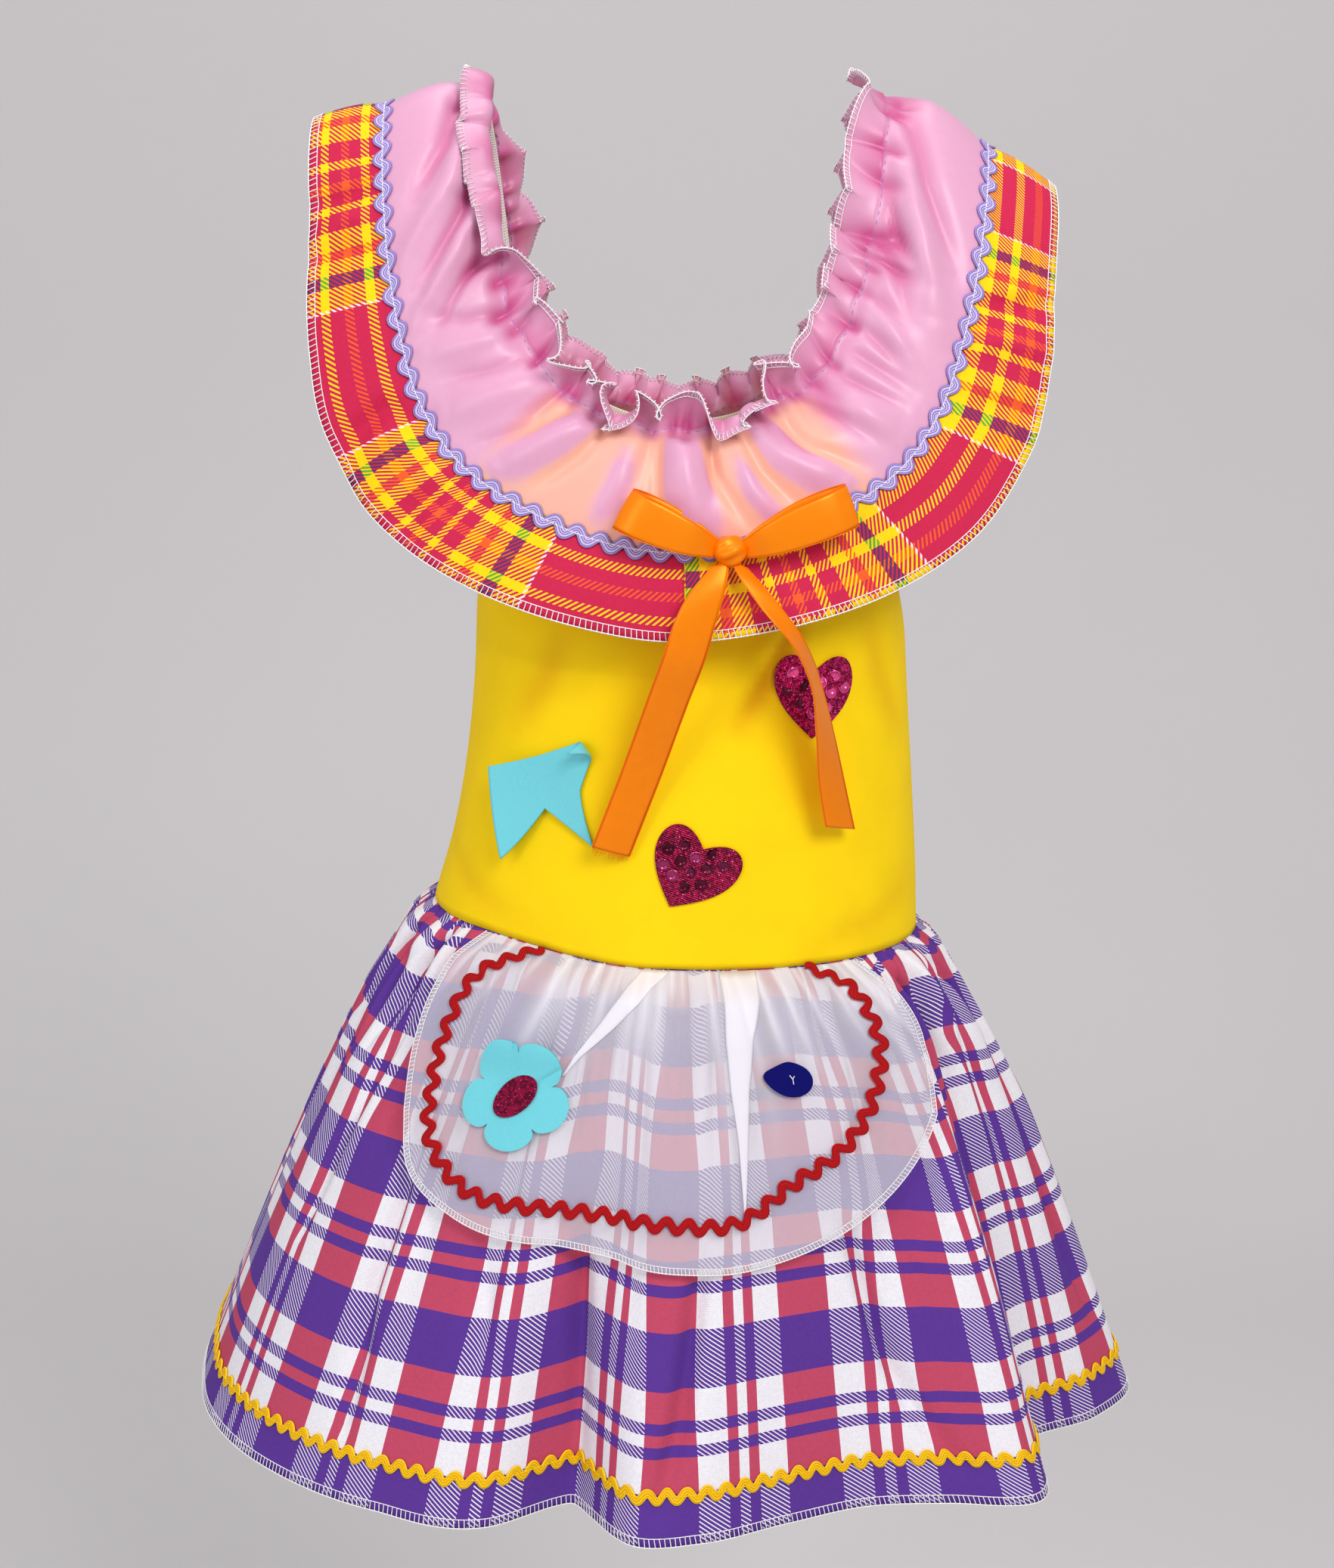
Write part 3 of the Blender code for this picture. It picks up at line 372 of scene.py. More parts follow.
# Its waves are calmer where it leans far over and where one falls over the satin.
FRILL_CALM = {"share": 0.75, "from": 100.0, "over": 50.0}
FRILL_LOBE_CALM = 0.8
FRILL_CURL_FROM = 90.0
FRILL_CURL_OVER = 60.0
FRILL_BASE_PUCKER = 2.2
GATHER_THREAD = {"step": 1.2, "stitch": 4.8, "swing": 0.35, "sunk": 0.12, "radius": 0.25}
# Where a wave of the frill falls over the satin: station, half its width in stations, more lean.
FRILL_LOBES = (
    (-11, 3.6, 75),
    (8, 3.6, 80),
    (15, 3, 60),
    (-25, 2.8, 45),
)
# Where the satin is painted peach, as light through the thin satin from the yellow knit beneath would colour
# it: its reach from the centre at the gathers and at the trim, how soft its edge is, and how far below the
# gathers it starts.
OVER_BODICE_AT_GATHERS = 62.0
OVER_BODICE_AT_TRIM = 104.0
OVER_BODICE_EDGE = 12.0
OVER_BODICE_FROM_DEPTH = 0.14

ELASTIC_TOP = 0.5
ELASTIC_WIDTH = 9.0
ELASTIC_ROWS = 8
ELASTIC_COLUMNS = 360

BRAID_LIFT = 0.3
HEM_RICRAC = {"swing": 2.5, "half_width": 2.4}
COLLAR_RICRAC = {"swing": 2.6, "half_width": 3.1}
APRON_RICRAC = {"swing": 2.9, "half_width": 2.1}
BRAID_STEPS_TO_A_WAVE = 14
BRAID_ROWS = 7
BRAID_EDGE_LEAN = 0.6
BRAID_CROWN = 0.35
RUNNING_STITCH = 2.8
RUNNING_THREAD = 0.3
RUNNING_DIPS = (-0.55, 0.05, 0.12, 0.12, 0.05)

APRON_TOP_LEFT = -47.0
APRON_TOP_RIGHT = 44.0
APRON_TOP_HEIGHT = -452.2
APRON_LEFT = (
    # along, angle, height
    (0, -47, -452.2),
    (0.3, -48.5, -475),
    (0.6, -47.5, -502),
    (1, -44, -536),
)
APRON_RIGHT = (
    # along, angle, height
    (0, 44, -452.2),
    (0.3, 48, -475),
    (0.6, 47.5, -500),
    (1, 44.5, -530),
)
APRON_BOTTOM = (
    # along, angle, height
    (0, -44, -536),
    (0.1, -39.5, -564),
    (0.22, -30, -583),
    (0.4, -13, -594),
    (0.55, 3, -602),
    (0.65, 11, -602),
    (0.78, 24, -587),
    (0.9, 36, -560),
    (1, 44.5, -530),
)
APRON_COLUMNS = 170
APRON_ROWS = 90
APRON_GATHER = 1.6
APRON_GATHER_KEPT = 0.3
APRON_GATHER_FADES_OVER = 110.0
APRON_SEAM_CLEARANCE = -0.6
APRON_CLEARANCE = 3.2
APRON_RISE_START = 3.0
APRON_RISE_OVER = 15.0
APRON_BRIDGE = 9.0
APRON_FOLD_COUNT = 26
APRON_FOLD_REACHES = (0.12, 0.25, 0.45, 0.9)
APRON_FOLDS_END_BELOW = 150.0
APRON_FAN = 0.22
APRON_SEED = 8
APRON_MM_PER_DEGREE = 2.3
APRON_ROW_SPREAD = 1.15
APRON_CREASES = (
    (3, -2.4, (1.5, -455), (-2.5, -464), (-3.3, -482)),
    (3, -2.4, (16.5, -455), (19, -463), (18.5, -476)),
    (5, -1.2, (-27, -458), (-30, -480), (-33, -510)),
    (5, -1.2, (29, -458), (33, -485), (36, -515)),
)
# Where the organza lies double in a narrow fold: its left and right edges, as angle and height.
APRON_BLADES = (
    (
        ((-7.5, -453), (-9.5, -458), (-11.5, -467), (-14.4, -482), (-16.7, -494.5), (-18, -504)),
        ((-1.5, -453), (-4.6, -458), (-7.4, -467), (-11.9, -482), (-15.6, -494.5), (-17.6, -504)),
    ),
    (
        ((9.6, -453), (9.4, -465.5), (9.1, -482), (9.4, -508), (10.1, -532), (10.4, -574)),
        ((18, -453), (16, -465.5), (14.1, -482), (12.5, -506), (11.7, -532), (10.6, -576)),
    ),
)
BLADE_LIFT = 0.5
BLADE_PUFF = 1.0
BLADE_LEAST_WIDTH = 0.3
BLADE_ROWS = 44
BLADE_COLUMNS = 13
BLADE_RISES_OVER = 6.0
APRON_GATHERED_OVER = 30.0
APRON_TRIM = (
    # along, angle, height
    (0, -30.5, -452.6),
    (0.05, -38.5, -465),
    (0.13, -41, -492),
    (0.2, -40, -518),
    (0.27, -37, -546),
    (0.33, -30, -566),
    (0.42, -17, -572.5),
    (0.52, -2, -575.5),
    (0.59, 9.5, -576),
    (0.65, 17, -559),
    (0.73, 27, -539),
    (0.81, 35, -508),
    (0.9, 38, -478),
    (0.96, 36, -460),
    (1, 29.5, -452.6),
)
APRON_TRIM_STEPS = 600
APRON_WAVES = 43

HEART_UPPER = {"angle": 32.1, "height": -302.5, "width": 47.5, "length": 45.0, "turn": -6.0, "lift": 0.5}
HEART_LOWER = {"angle": 1.1, "height": -397.0, "width": 49.0, "length": 43.0, "turn": -26.0, "lift": 0.5}
HEART_FULLNESS = 2.0
# The heart's height is a sum of cosines of one turn, two turns and so on.
HEART_CURVE = (13.0, -4.2, -1.7, -0.5)
PATCH_RINGS = (1.0, 0.97, 0.9, 0.8, 0.66, 0.5, 0.32, 0.15)
FLOWER = {"angle": -24.7, "height": -517.0, "radius": 29.5, "notch": 20.0, "turn": 129.0, "lift": 1.2}
FLOWER_CENTRE = {"angle": -24.4, "height": -516.5, "width": 27.0, "length": 17.5, "turn": 48.0, "lift": 0.5}
BUTTON = {"angle": 19.6, "height": -502.5, "width": 23.0, "length": 19.0, "turn": -8.0, "lift": 1.2}
BUTTON_POINT = 3.5
BUTTON_STITCHES = (((-1.5, 2.2), (0.3, 0.2), (0.8, -2.4)), ((1.3, 2.0), (0.3, 0.2)))
BUTTON_STITCH = {"lift": 0.2, "radius": 0.25, "facing": (0.2, -1.0, 0.1)}
PETAL_CREASE = {
    "place": (6.0, 4.0), "slope": 0.8, "depth": 1.2, "half_width": 1.5, "from": 4.0, "over": 12.0,
}
PETAL_BEND = {"reach": 6.0, "from": 5.0, "over": 22.0}
PENNANT = {"angle": -39.0, "height": -340.0, "width": 50.0, "length": 55.0, "fork": 26.0, "turn": 13.0}
PENNANT_ROWS = 37
PENNANT_COLUMNS = 49
PENNANT_TOP_SLANT = 8.0
PENNANT_LIFT = 1.0
PENNANT_LEFT_LIFT = 9.0
PENNANT_BOW = 4.5
PENNANT_RIGHT_BOW = 4.5
PENNANT_CORNER_REACH = (12.0, 4.0)
PENNANT_TIP_DRAWN = (2.3, 2.5)
# Its upper right corner rolls forwards past a slanted line.
PENNANT_ROLL = ((25.0, -5.0), (0.914, 0.405), 5.0)
PENNANT_CURL_FROM = 0.55
PENNANT_CURL_DOWN_TO = 0.45
FLOWER_PETALS = 5
SEQUIN_RADIUS = 3.4
SEQUIN_THICK = 0.14
SEQUIN_RIM = 1.5
SEQUIN_CUP = 0.35
SEQUIN_PITCH = 9.2
SEQUIN_ROW_SHARE = 0.86
SEQUIN_ROWS_TURN = 12.0
SEQUINS_WITHIN = 0.82
SEQUIN_SHIFT = 0.7
SEQUIN_LIFT = 0.45
SEQUIN_LIFT_MORE = 0.12

BOW_BASE_FORWARD = 119.0
LEFT_LOOP = (
    # across, forward, height, width x, y and z, width
    (17.1, 9, -217, 0.30, 0.10, 0.95, 8.5),
    (6, 16, -212, 0.36, 0.10, 0.93, 15),
    (-12, 18, -204.5, 0.42, 0.10, 0.90, 20.5),
    (-27, 15, -198.5, 0.45, 0.10, 0.89, 22),
    (-31, 10, -197, 0.46, 0.10, 0.88, 22),
    (-26, 5, -199, 0.45, 0.10, 0.89, 22),
    (-10, 2.5, -205.5, 0.42, 0.10, 0.90, 20),
    (6, 2.5, -212, 0.36, 0.10, 0.93, 14),
    (16.8, 5.5, -216.5, 0.30, 0.10, 0.95, 8.5),
)
RIGHT_LOOP = (
    # across, forward, height, width x, y and z, width
    (30.9, 9, -217, -0.30, 0.05, 0.95, 8.5),
    (42, 16, -211, -0.34, 0.05, 0.94, 15),
    (62, 17.5, -202, -0.36, 0.05, 0.93, 20.5),
    (80, 13, -194.5, -0.36, 0.05, 0.93, 22),
    (85, 8, -192.5, -0.36, 0.05, 0.93, 22),
    (79, 3, -195, -0.36, 0.05, 0.93, 22),
    (60, 0.5, -203, -0.36, 0.05, 0.93, 20),
    (42, 2, -211.5, -0.34, 0.05, 0.94, 14),
    (31.2, 5.5, -216.5, -0.30, 0.05, 0.95, 8.5),
)
LEFT_TAIL = (
    # across, forward, height, width x, y and z, width
    (19.4, 9, -224.3, 0.96, 0.10, 0.26, 8.5),
    (14, 14, -235, 0.96, 0.10, 0.16, 17),
    (7, 17.2, -254, 0.95, 0.20, -0.05, 21),
    (3, 16.6, -269, 0.93, 0.25, -0.15, 22),
    (-5, 8, -295, 0.91, 0.30, -0.22, 22),
    (-18, -6, -338, 0.90, 0.30, -0.26, 22),
    (-34, -15, -386, 0.89, 0.30, -0.28, 22),
)
RIGHT_TAIL = (
    # across, forward, height, width x, y and z, width
    (28.7, 9, -224.3, 0.93, 0.10, -0.36, 8.5),
    (36, 14, -233, 0.90, 0.15, -0.41, 15),
    (48, 16, -248, 0.84, 0.30, -0.45, 20),
    (61.5, 12, -266, 0.50, 0.78, -0.37, 22),
    (71, 0.5, -288, 0.30, 0.94, -0.16, 22),
    (77, -9.5, -315, 0.46, 0.88, -0.12, 22),
    (82.5, -19, -345, 0.66, 0.74, -0.12, 22),
    (88.5, -25.5, -372, 0.74, 0.66, -0.14, 22),
)
KNOT_CENTRE = (24.0, 7.5, -217.5)
KNOT_RADII = (8.6, 9.0, 7.2)
KNOT_ROWS = 29
KNOT_COLUMNS = 56
KNOT_THICK = 0.6
KNOT_WRINKLE = {"depth": 0.13, "count": 5, "twist": 3.2}
KNOT_ROUNDNESS = 0.75
KNOT_CLOTH = (36.0, 8.0)
RIBBON_COLUMNS = 90
RIBBON_ROWS = 11
RIBBON_CROWN = 0.6
RIBBON_CUT_OVER = 14.0
PICOT = {"pitch": 0.7, "out": 0.25, "radius": 0.26}
FRAY = {"count": 46, "shortest": 1.2, "longest": 4.6, "radius": 0.12, "seed": 21}

THREAD_RADIUS = 0.27
EDGE_THREAD_RADIUS = 0.34
EDGE_CHAIN_INSET = 0.1
STITCH_SHAKE = 0.2
STITCH_LIFT = 0.1
STITCH_OVER_EDGE = 0.1
STITCH_ROUND_EDGE = 0.45
INTO_THE_CLOTH = 0.6
HEM_STITCH = {"pitch": 2.8, "depth": 5.0, "slant": 0.8}
BORDER_STITCH = {"pitch": 3.0, "depth": 4.8, "slant": 0.6}
FRILL_STITCH = {"pitch": 2.9, "depth": 3.4, "slant": 0.5}
APRON_STITCH = {"pitch": 2.1, "depth": 3.4, "slant": 0.8}

# The stripes of the plaid and of the check: width in millimetres, then a share or a colour.
SKIRT_ACROSS = ((34.0, 1.0), (18.0, 0.0), (6.8, 1.0), (6.2, 0.0), (6.8, 1.0), (18.0, 0.0))
SKIRT_UP = ((31.5, 1.0), (19.0, 0.0), (6.4, 1.0), (6.4, 0.0), (6.4, 1.0), (17.3, 0.0))
SKIRT_UP_START = 3.5
YELLOW_ZONE = ((9.0, "check yellow"), (6.0, "check orange"), (10.0, "check yellow"))
CHECK_ALONG = (
    (67.0, "raspberry"),
    (2.0, "check white"),
    (11.0, "check yellow"),
    (7.5, "raspberry"),
    *YELLOW_ZONE,
    (10.0, "raspberry"),
    (5.0, "check yellow"),
    (7.5, "raspberry"),
    (5.0, "check orange"),
    (7.5, "raspberry"),
    (5.0, "check yellow"),
    (10.0, "raspberry"),
    *YELLOW_ZONE[::-1],
    (7.5, "raspberry"),
    (12.0, "check yellow"),
    (2.0, "check white"),
)
CHECK_PURPLE = ((80.0, 0.0), (7.5, 1.0), (100.0, 0.0), (7.5, 1.0), (14.0, 0.0))
CHECK_ACROSS = (
    (10.0, "raspberry"),
    (5.0, "check yellow"),
    (8.0, "raspberry"),
    (5.0, "check orange"),
    (7.5, "raspberry"),
    (5.0, "check yellow"),
    (9.0, "raspberry"),
    *YELLOW_ZONE,
)
CHECK_ACROSS_YELLOW = ((10.0, 0.0), (5.0, 1.0), (20.5, 0.0), (5.0, 1.0), (9.0, 0.0), (25.0, 1.0))
CHECK_ACROSS_START = 12.0

# Colours as red, green and blue on a screen, from 0 to 255.
COLOURS = {
    "yellow knit": (252, 212, 0),
    # Painted shade for the knit's crease troughs.
    "knit shade": (222, 150, 0),
    "satin": (220, 160, 192),
    # Painted shade for the satin's valleys, crease troughs and the frill's turned sides.
    "satin shade": (196, 82, 138),
    # Painted show-through: the peach that light through the thin satin takes from the yellow knit beneath.
    "satin painted show-through": (240, 176, 154),
    "raspberry": (198, 32, 74),
    "check yellow": (252, 208, 8),
    "check orange": (232, 92, 40),
    "check purple": (92, 48, 92),
    "check green": (96, 166, 52),
    "check white": (244, 222, 228),
    "skirt white": (234, 231, 238),
    "skirt rose": (188, 70, 98),
    "skirt purple": (88, 50, 144),
    "organza": (246, 243, 252),
    "thread white": (240, 238, 240),
    "elastic": (250, 248, 246),
    # Painted shade for the elastic's grooves.
    "elastic shade": (214, 211, 208),
    "lilac": (156, 136, 204),
    "pale lilac": (206, 192, 234),
    "violet": (96, 76, 152),
    "braid yellow": (248, 200, 6),
    "braid amber": (222, 156, 0),
    "braid red": (190, 4, 14),
    "braid dark red": (128, 2, 8),
    "ribbon orange": (250, 134, 0),
    "ribbon edge": (236, 104, 0),
    "bright magenta": (206, 14, 96),
    # Painted glint colour of the sequins and of the lamé's specks.
    "sequin glint pink": (255, 92, 166),
    "magenta": (150, 8, 60),
    "dark magenta": (70, 2, 28),
    "aqua": (112, 204, 216),
    "navy": (6, 6, 96),
    "backdrop": (216, 213, 214),
}


def colour(name):
    """A named colour as the shaders take it."""
    parts = np.array(COLOURS[name]) / 255.0
    linear = np.where(parts <= 0.04045, parts / 12.92, ((parts + 0.055) / 1.055) ** 2.4)
    return (*(float(part) for part in linear), 1.0)


# Curves and body forms, as in the solids.


def read(table, at):
    """Reads a table at places between its rows, along a smooth curve through them."""
    rows = np.asarray(table, float)
    rows = rows[np.argsort(rows[:, 0])]
    places, values = rows[:, 0], rows[:, 1:]
    slopes = np.gradient(values, places, axis=0)
    at = np.asarray(at, float)
    low = np.clip(np.searchsorted(places, at, side="right") - 1, 0, len(places) - 2)
    span = (places[low + 1] - places[low])[..., None]
    part = (at - places[low])[..., None] / span
    start_share = 2 * part**3 - 3 * part**2 + 1
    start_slope = (part**3 - 2 * part**2 + part) * span
    end_slope = (part**3 - part**2) * span
    return (
        start_share * values[low]
        + start_slope * slopes[low]
        + (1 - start_share) * values[low + 1]
        + end_slope * slopes[low + 1]
    )


def unit(vectors):
    return vectors / np.linalg.norm(vectors, axis=-1, keepdims=True)


def smooth_step(value):
    value = np.clip(value, 0.0, 1.0)
    return value * value * (3 - 2 * value)


def oval(angle, centre, half_width, front_depth, back_depth, height):
    """Points of a body section, where the angle runs from the front centre towards +X."""
    turn = np.radians(angle)
    sine, cosine = np.sin(turn), np.cos(turn)
    reach = (np.abs(sine) ** SECTION_POWER + np.abs(cosine) ** SECTION_POWER) ** (-1 / SECTION_POWER)
    depth = np.where(cosine >= 0, front_depth, back_depth)
    across = centre + half_width * reach * sine
    return np.stack([across, -depth * reach * cosine, np.broadcast_to(height, across.shape)], -1)


def body_point(angle, height, out=0.0):
    ring = read(BODY, height)
    centre, half_width, front, back = np.moveaxis(ring, -1, 0)
    return oval(angle, centre, half_width + out, front + out, back + out, height)


def skirt_drop(height):
    return np.clip((WAIST_HEIGHT - height) / (WAIST_HEIGHT - HEM_HEIGHT), 0.0, 1.0)


def wrapped(angle):
    return (np.asarray(angle, float) + 180.0) % 360.0 - 180.0


def fold_reach(angle, height):
    return read(FOLDS, wrapped(angle))[..., 0] * skirt_drop(height) ** FOLD_GROWTH


def gather_depth(height):
    return read(GATHERS, height)[..., 0]


def skirt_point(angle, height, reach):
    ring = read(SKIRT, height)
    half_width, front, back = np.moveaxis(ring, -1, 0)
    return oval(angle, SKIRT_CENTRE, half_width + reach, front + reach, back + reach, height)


def lengths_along(line):
    """How far along an open line each point lies."""
    return np.concatenate([[0.0], np.cumsum(np.linalg.norm(np.diff(line, axis=0), axis=1))])


def even_places(points, count):
    """Fractions of a closed line, sampled finely, that part it into equal lengths."""
    steps = np.linalg.norm(np.diff(points, axis=0), axis=1)
    travelled = lengths_along(points) / steps.sum()
    return np.interp(np.arange(count) / count, travelled, np.linspace(0.0, 1.0, len(points)))


def ring_normals(grid):
    """Outward normals of a grid whose columns close into a ring."""
    across = np.roll(grid, -1, axis=1) - np.roll(grid, 1, axis=1)
    return unit(np.cross(np.gradient(grid, axis=0), across))


def sheet_normals(grid):
    return unit(np.cross(np.gradient(grid, axis=0), np.gradient(grid, axis=1)))


def ring_part(grid, first, last):
    """Columns first to last of a ring, going on past its end where last is over the count."""
    return np.take(grid, range(first, last + 1), axis=1, mode="wrap")


def lengths_down(grid):
    """How far each point lies below its column's first, along the cloth."""
    steps = np.linalg.norm(np.diff(grid, axis=0), axis=2)
    return np.concatenate([np.zeros((1, grid.shape[1])), np.cumsum(steps, axis=0)])


def lengths_across(grid):
    """How far each point lies along its row, from the row's first."""
    steps = np.linalg.norm(np.diff(grid, axis=1), axis=2)
    return np.concatenate([np.zeros((len(grid), 1)), np.cumsum(steps, axis=1)], axis=1)


def ring_lengths(line):
    """How far round a closed line each point lies, and the whole way at the end."""
    steps = np.linalg.norm(np.roll(line, -1, axis=0) - line, axis=1)
    return np.concatenate([[0.0], np.cumsum(steps)])


def ring_blur(values, columns):
    """The values along the last axis of a ring, spread over about that many columns."""
    count = values.shape[-1]
    waves = np.fft.rfftfreq(count)
    keep = np.exp(-2 * (math.pi * waves * columns) ** 2)
    return np.fft.irfft(np.fft.rfft(values, axis=-1) * keep, n=count, axis=-1)


def creased(first, second, first_mm, second_mm, creases):
    """Soft troughs and ridges along given lines, in millimetres out of the cloth."""
    total = np.zeros(np.broadcast(first, second).shape)
    for width, out, *line in creases:
        nearest = np.full(total.shape, np.inf)
        passed = np.zeros(total.shape)
        for number, (start, end) in enumerate(zip(line, line[1:])):
            x, y = wrapped(first - start[0]) * first_mm, (second - start[1]) * second_mm
            run_x, run_y = (end[0] - start[0]) * first_mm, (end[1] - start[1]) * second_mm
            share = np.clip((x * run_x + y * run_y) / (run_x**2 + run_y**2), 0.0, 1.0)
            distance = np.hypot(x - share * run_x, y - share * run_y)
            closer = distance < nearest
            nearest = np.where(closer, distance, nearest)
            passed = np.where(closer, (number + share) / (len(line) - 1), passed)
        strength = np.sin(math.pi * np.clip(passed, 0.04, 0.96)) ** 0.5
        total += out * strength * np.exp(-((nearest / width) ** 2))
    return total


def uneven_places(count, chance, unevenness):
    """Shares of a ring, one to each fold, with uneven gaps between them."""
    gaps = 1 + unevenness * chance.uniform(-1, 1, count)
    return np.cumsum(gaps) / gaps.sum()


def valleys(share, drop, count, reaches, width, spread, drift, seed):
    """How low the cloth lies between its gathers, from 0 on a ridge to 1, by rows of drop and columns."""
    chance = np.random.default_rng(seed)
    left_over = np.ones((len(drop), len(share)))
    for centre in uneven_places(count, chance, 0.6):
        reach = chance.choice(reaches) * chance.uniform(0.85, 1.15)
        strength = chance.uniform(0.5, 1.0)
        wide = width * chance.uniform(0.6, 1.4) * (1 + spread * drop[:, None])
        middle = centre + drift * chance.uniform(-1, 1) * drop[:, None]
        away = (share[None] - middle + 0.5) % 1.0 - 0.5
        fade = 1 - smooth_step((drop[:, None] - 0.3 * reach) / (0.7 * reach))
        left_over *= 1 - strength * fade / (1 + (away / wide) ** 2)
    return 1 - left_over


# Meshes.


def with_waist_lifted(points):
    """The points with those near the waist's left side raised."""
    points = np.array(points, float)
    share = smooth_step((WAIST_LIFT_FROM - points[:, 0]) / WAIST_LIFT_OVER)
    away = (points[:, 2] - WAIST_HEIGHT) / WAIST_LIFT_REACH
    points[:, 2] += WAIST_LIFT * share * np.exp(-(away**2))
    return points


def add_mesh(name, points, faces, finish, slot, nodes=()):
    mesh = bpy.data.meshes.new(name)
    corners = faces.tolist() if isinstance(faces, np.ndarray) else faces
    mesh.from_pydata((with_waist_lifted(points) * MM).tolist(), [], corners)
    mesh.materials.append(FINISHES[finish])
    mesh.shade_smooth()
    mesh.update()
    piece = bpy.data.objects.new(name, mesh)
    bpy.context.scene.collection.objects.link(piece)
    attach(piece, "root")
    if nodes:
        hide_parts(*nodes)
    return piece


def mark(piece, marks):
    """Gives the piece's points named values, which its finish reads."""
    for label, values in marks.items():
        layer = piece.data.attributes.new(label, "FLOAT", "POINT")
        layer.data.foreach_set("value", np.asarray(values, np.float32).reshape(-1))


def add_thickness(piece, thickness):
    shell = piece.modifiers.new("thickness", "SOLIDIFY")
    shell.thickness = thickness * MM
    shell.offset = -1.0


def add_cloth(name, grid, thickness, finish, slot, along, down, shades=None, closed=False, nodes=()):
    """One sheet of cloth from a grid on its outer face, rows down and columns to the right from outside.

    along and down say, in millimetres, where each point lies in the flat cloth, and may leave out rows
    or columns that are all alike.
    """
    rows, columns = grid.shape[:2]
    left = np.arange(columns if closed else columns - 1)
    right = (left + 1) % columns
    index = np.arange(rows * columns).reshape(rows, columns)
    above, below = index[:-1], index[1:]
    faces = np.stack([above[:, left], below[:, left], below[:, right], above[:, right]], -1).reshape(-1, 4)
    piece = add_mesh(name, grid.reshape(-1, 3), faces, finish, slot, nodes)
    flat = np.stack(np.broadcast_arrays(along, down), -1) * MM
    corners = np.stack([flat[:-1, :-1], flat[1:, :-1], flat[1:, 1:], flat[:-1, 1:]], 2)
    piece.data.uv_layers.new(name="cloth").data.foreach_set("uv", corners.reshape(-1))
    mark(piece, shades or {})
    add_thickness(piece, thickness)
    return piece


def drawn_in(grid):
    """The grid with its first and last columns moved inwards, which leaves a seam's gap."""
    moved = grid.copy()
    moved[:, 0] += unit(grid[:, 1] - grid[:, 0]) * SEAM_GAP / 2
    moved[:, -1] += unit(grid[:, -2] - grid[:, -1]) * SEAM_GAP / 2
    return moved


def tube(points, reference, radius, sides=4, closed=False):
    """Vertices and faces of a thread along points, with directions that are never along it."""
    tangent = np.gradient(points, axis=0)
    if closed:
        tangent = np.roll(points, -1, axis=0) - np.roll(points, 1, axis=0)
    first = unit(np.cross(unit(tangent), reference))
    second = unit(np.cross(first, unit(tangent)))
    turns = 2 * math.pi * np.arange(sides) / sides
    around = first[:, None] * np.cos(turns)[:, None] + second[:, None] * np.sin(turns)[:, None]
    vertices = (points[:, None] + radius * around).reshape(-1, 3)
    count = len(points)
    ring = np.arange(sides)
    faces = []
    for start in range(count if closed else count - 1):
        this, after = start * sides, (start + 1) % count * sides
        faces.append(
            np.stack([this + ring, this + (ring + 1) % sides, after + (ring + 1) % sides, after + ring], -1)
        )
    return vertices, np.concatenate(faces)


def join_parts(parts):
    """One list of vertices and one of faces from several."""
    vertices, faces, count = [], [], 0
    for points, corners in parts:
        vertices.append(points)
        faces.append(np.asarray(corners) + count)
        count += len(points)
    return np.concatenate(vertices), np.concatenate(faces)


def lie_on(values, lengths, column, length):
    """A ring grid's values at places between its columns, at lengths down them."""
    column, length = np.broadcast_arrays(np.asarray(column, float), np.asarray(length, float))
    count = values.shape[1]
    first = np.floor(column).astype(int)
    total = 0.0
    for offset, weight in ((0, first + 1 - column), (1, column - first)):
        at = (first + offset) % count
        fall = lengths[:, at]
        row = np.clip((fall <= length).sum(axis=0) - 1, 0, len(lengths) - 2)
        low = np.take_along_axis(fall, row[None], 0)[0]
        high = np.take_along_axis(fall, row[None] + 1, 0)[0]
        part = ((length - low) / (high - low))[..., None]
        here = values[row, at] * (1 - part) + values[row + 1, at] * part
        total = total + weight[..., None] * here
    return total


def add_ricrac(name, place, length, waves, shape, finish, slot, nodes, closed, thread):
    """A zigzag braid and the stitches down its middle: place gives points and normals on the trim line."""
    count = waves * BRAID_STEPS_TO_A_WAVE + (0 if closed else 1)
    turn = 2 * math.pi * np.arange(count) / BRAID_STEPS_TO_A_WAVE
    along = length * np.arange(count) / (waves * BRAID_STEPS_TO_A_WAVE)
    off = shape["swing"] * np.sin(turn)
    slope = shape["swing"] * np.cos(turn) * 2 * math.pi * waves / length
    lean = -BRAID_EDGE_LEAN * slope / np.sqrt(1 + slope**2)
    upright = np.sqrt(1 - lean**2)
    across = np.linspace(-1.0, 1.0, BRAID_ROWS)[:, None] * shape["half_width"]
    points, normals = place((along + across * lean).reshape(-1), (off + across * upright).reshape(-1))
    crown = BRAID_LIFT + BRAID_THICK + BRAID_CROWN * (1 - (across / shape["half_width"]) ** 4)
    grid = points.reshape(len(across), count, 3) + normals.reshape(len(across), count, 3) * crown[..., None]
    columns = count + 1 if closed else count
    laid = np.hypot(1, slope).mean() * length * np.arange(columns) / (waves * BRAID_STEPS_TO_A_WAVE)
    braid = add_cloth(name, grid, BRAID_THICK, finish, slot, laid, across, closed=closed, nodes=nodes)
    top = BRAID_LIFT + BRAID_THICK + BRAID_CROWN
    stitches = running_stitch(place, length, 0.0, top, closed)
    return braid, add_mesh(f"{name}_stitches", *stitches, thread, slot)


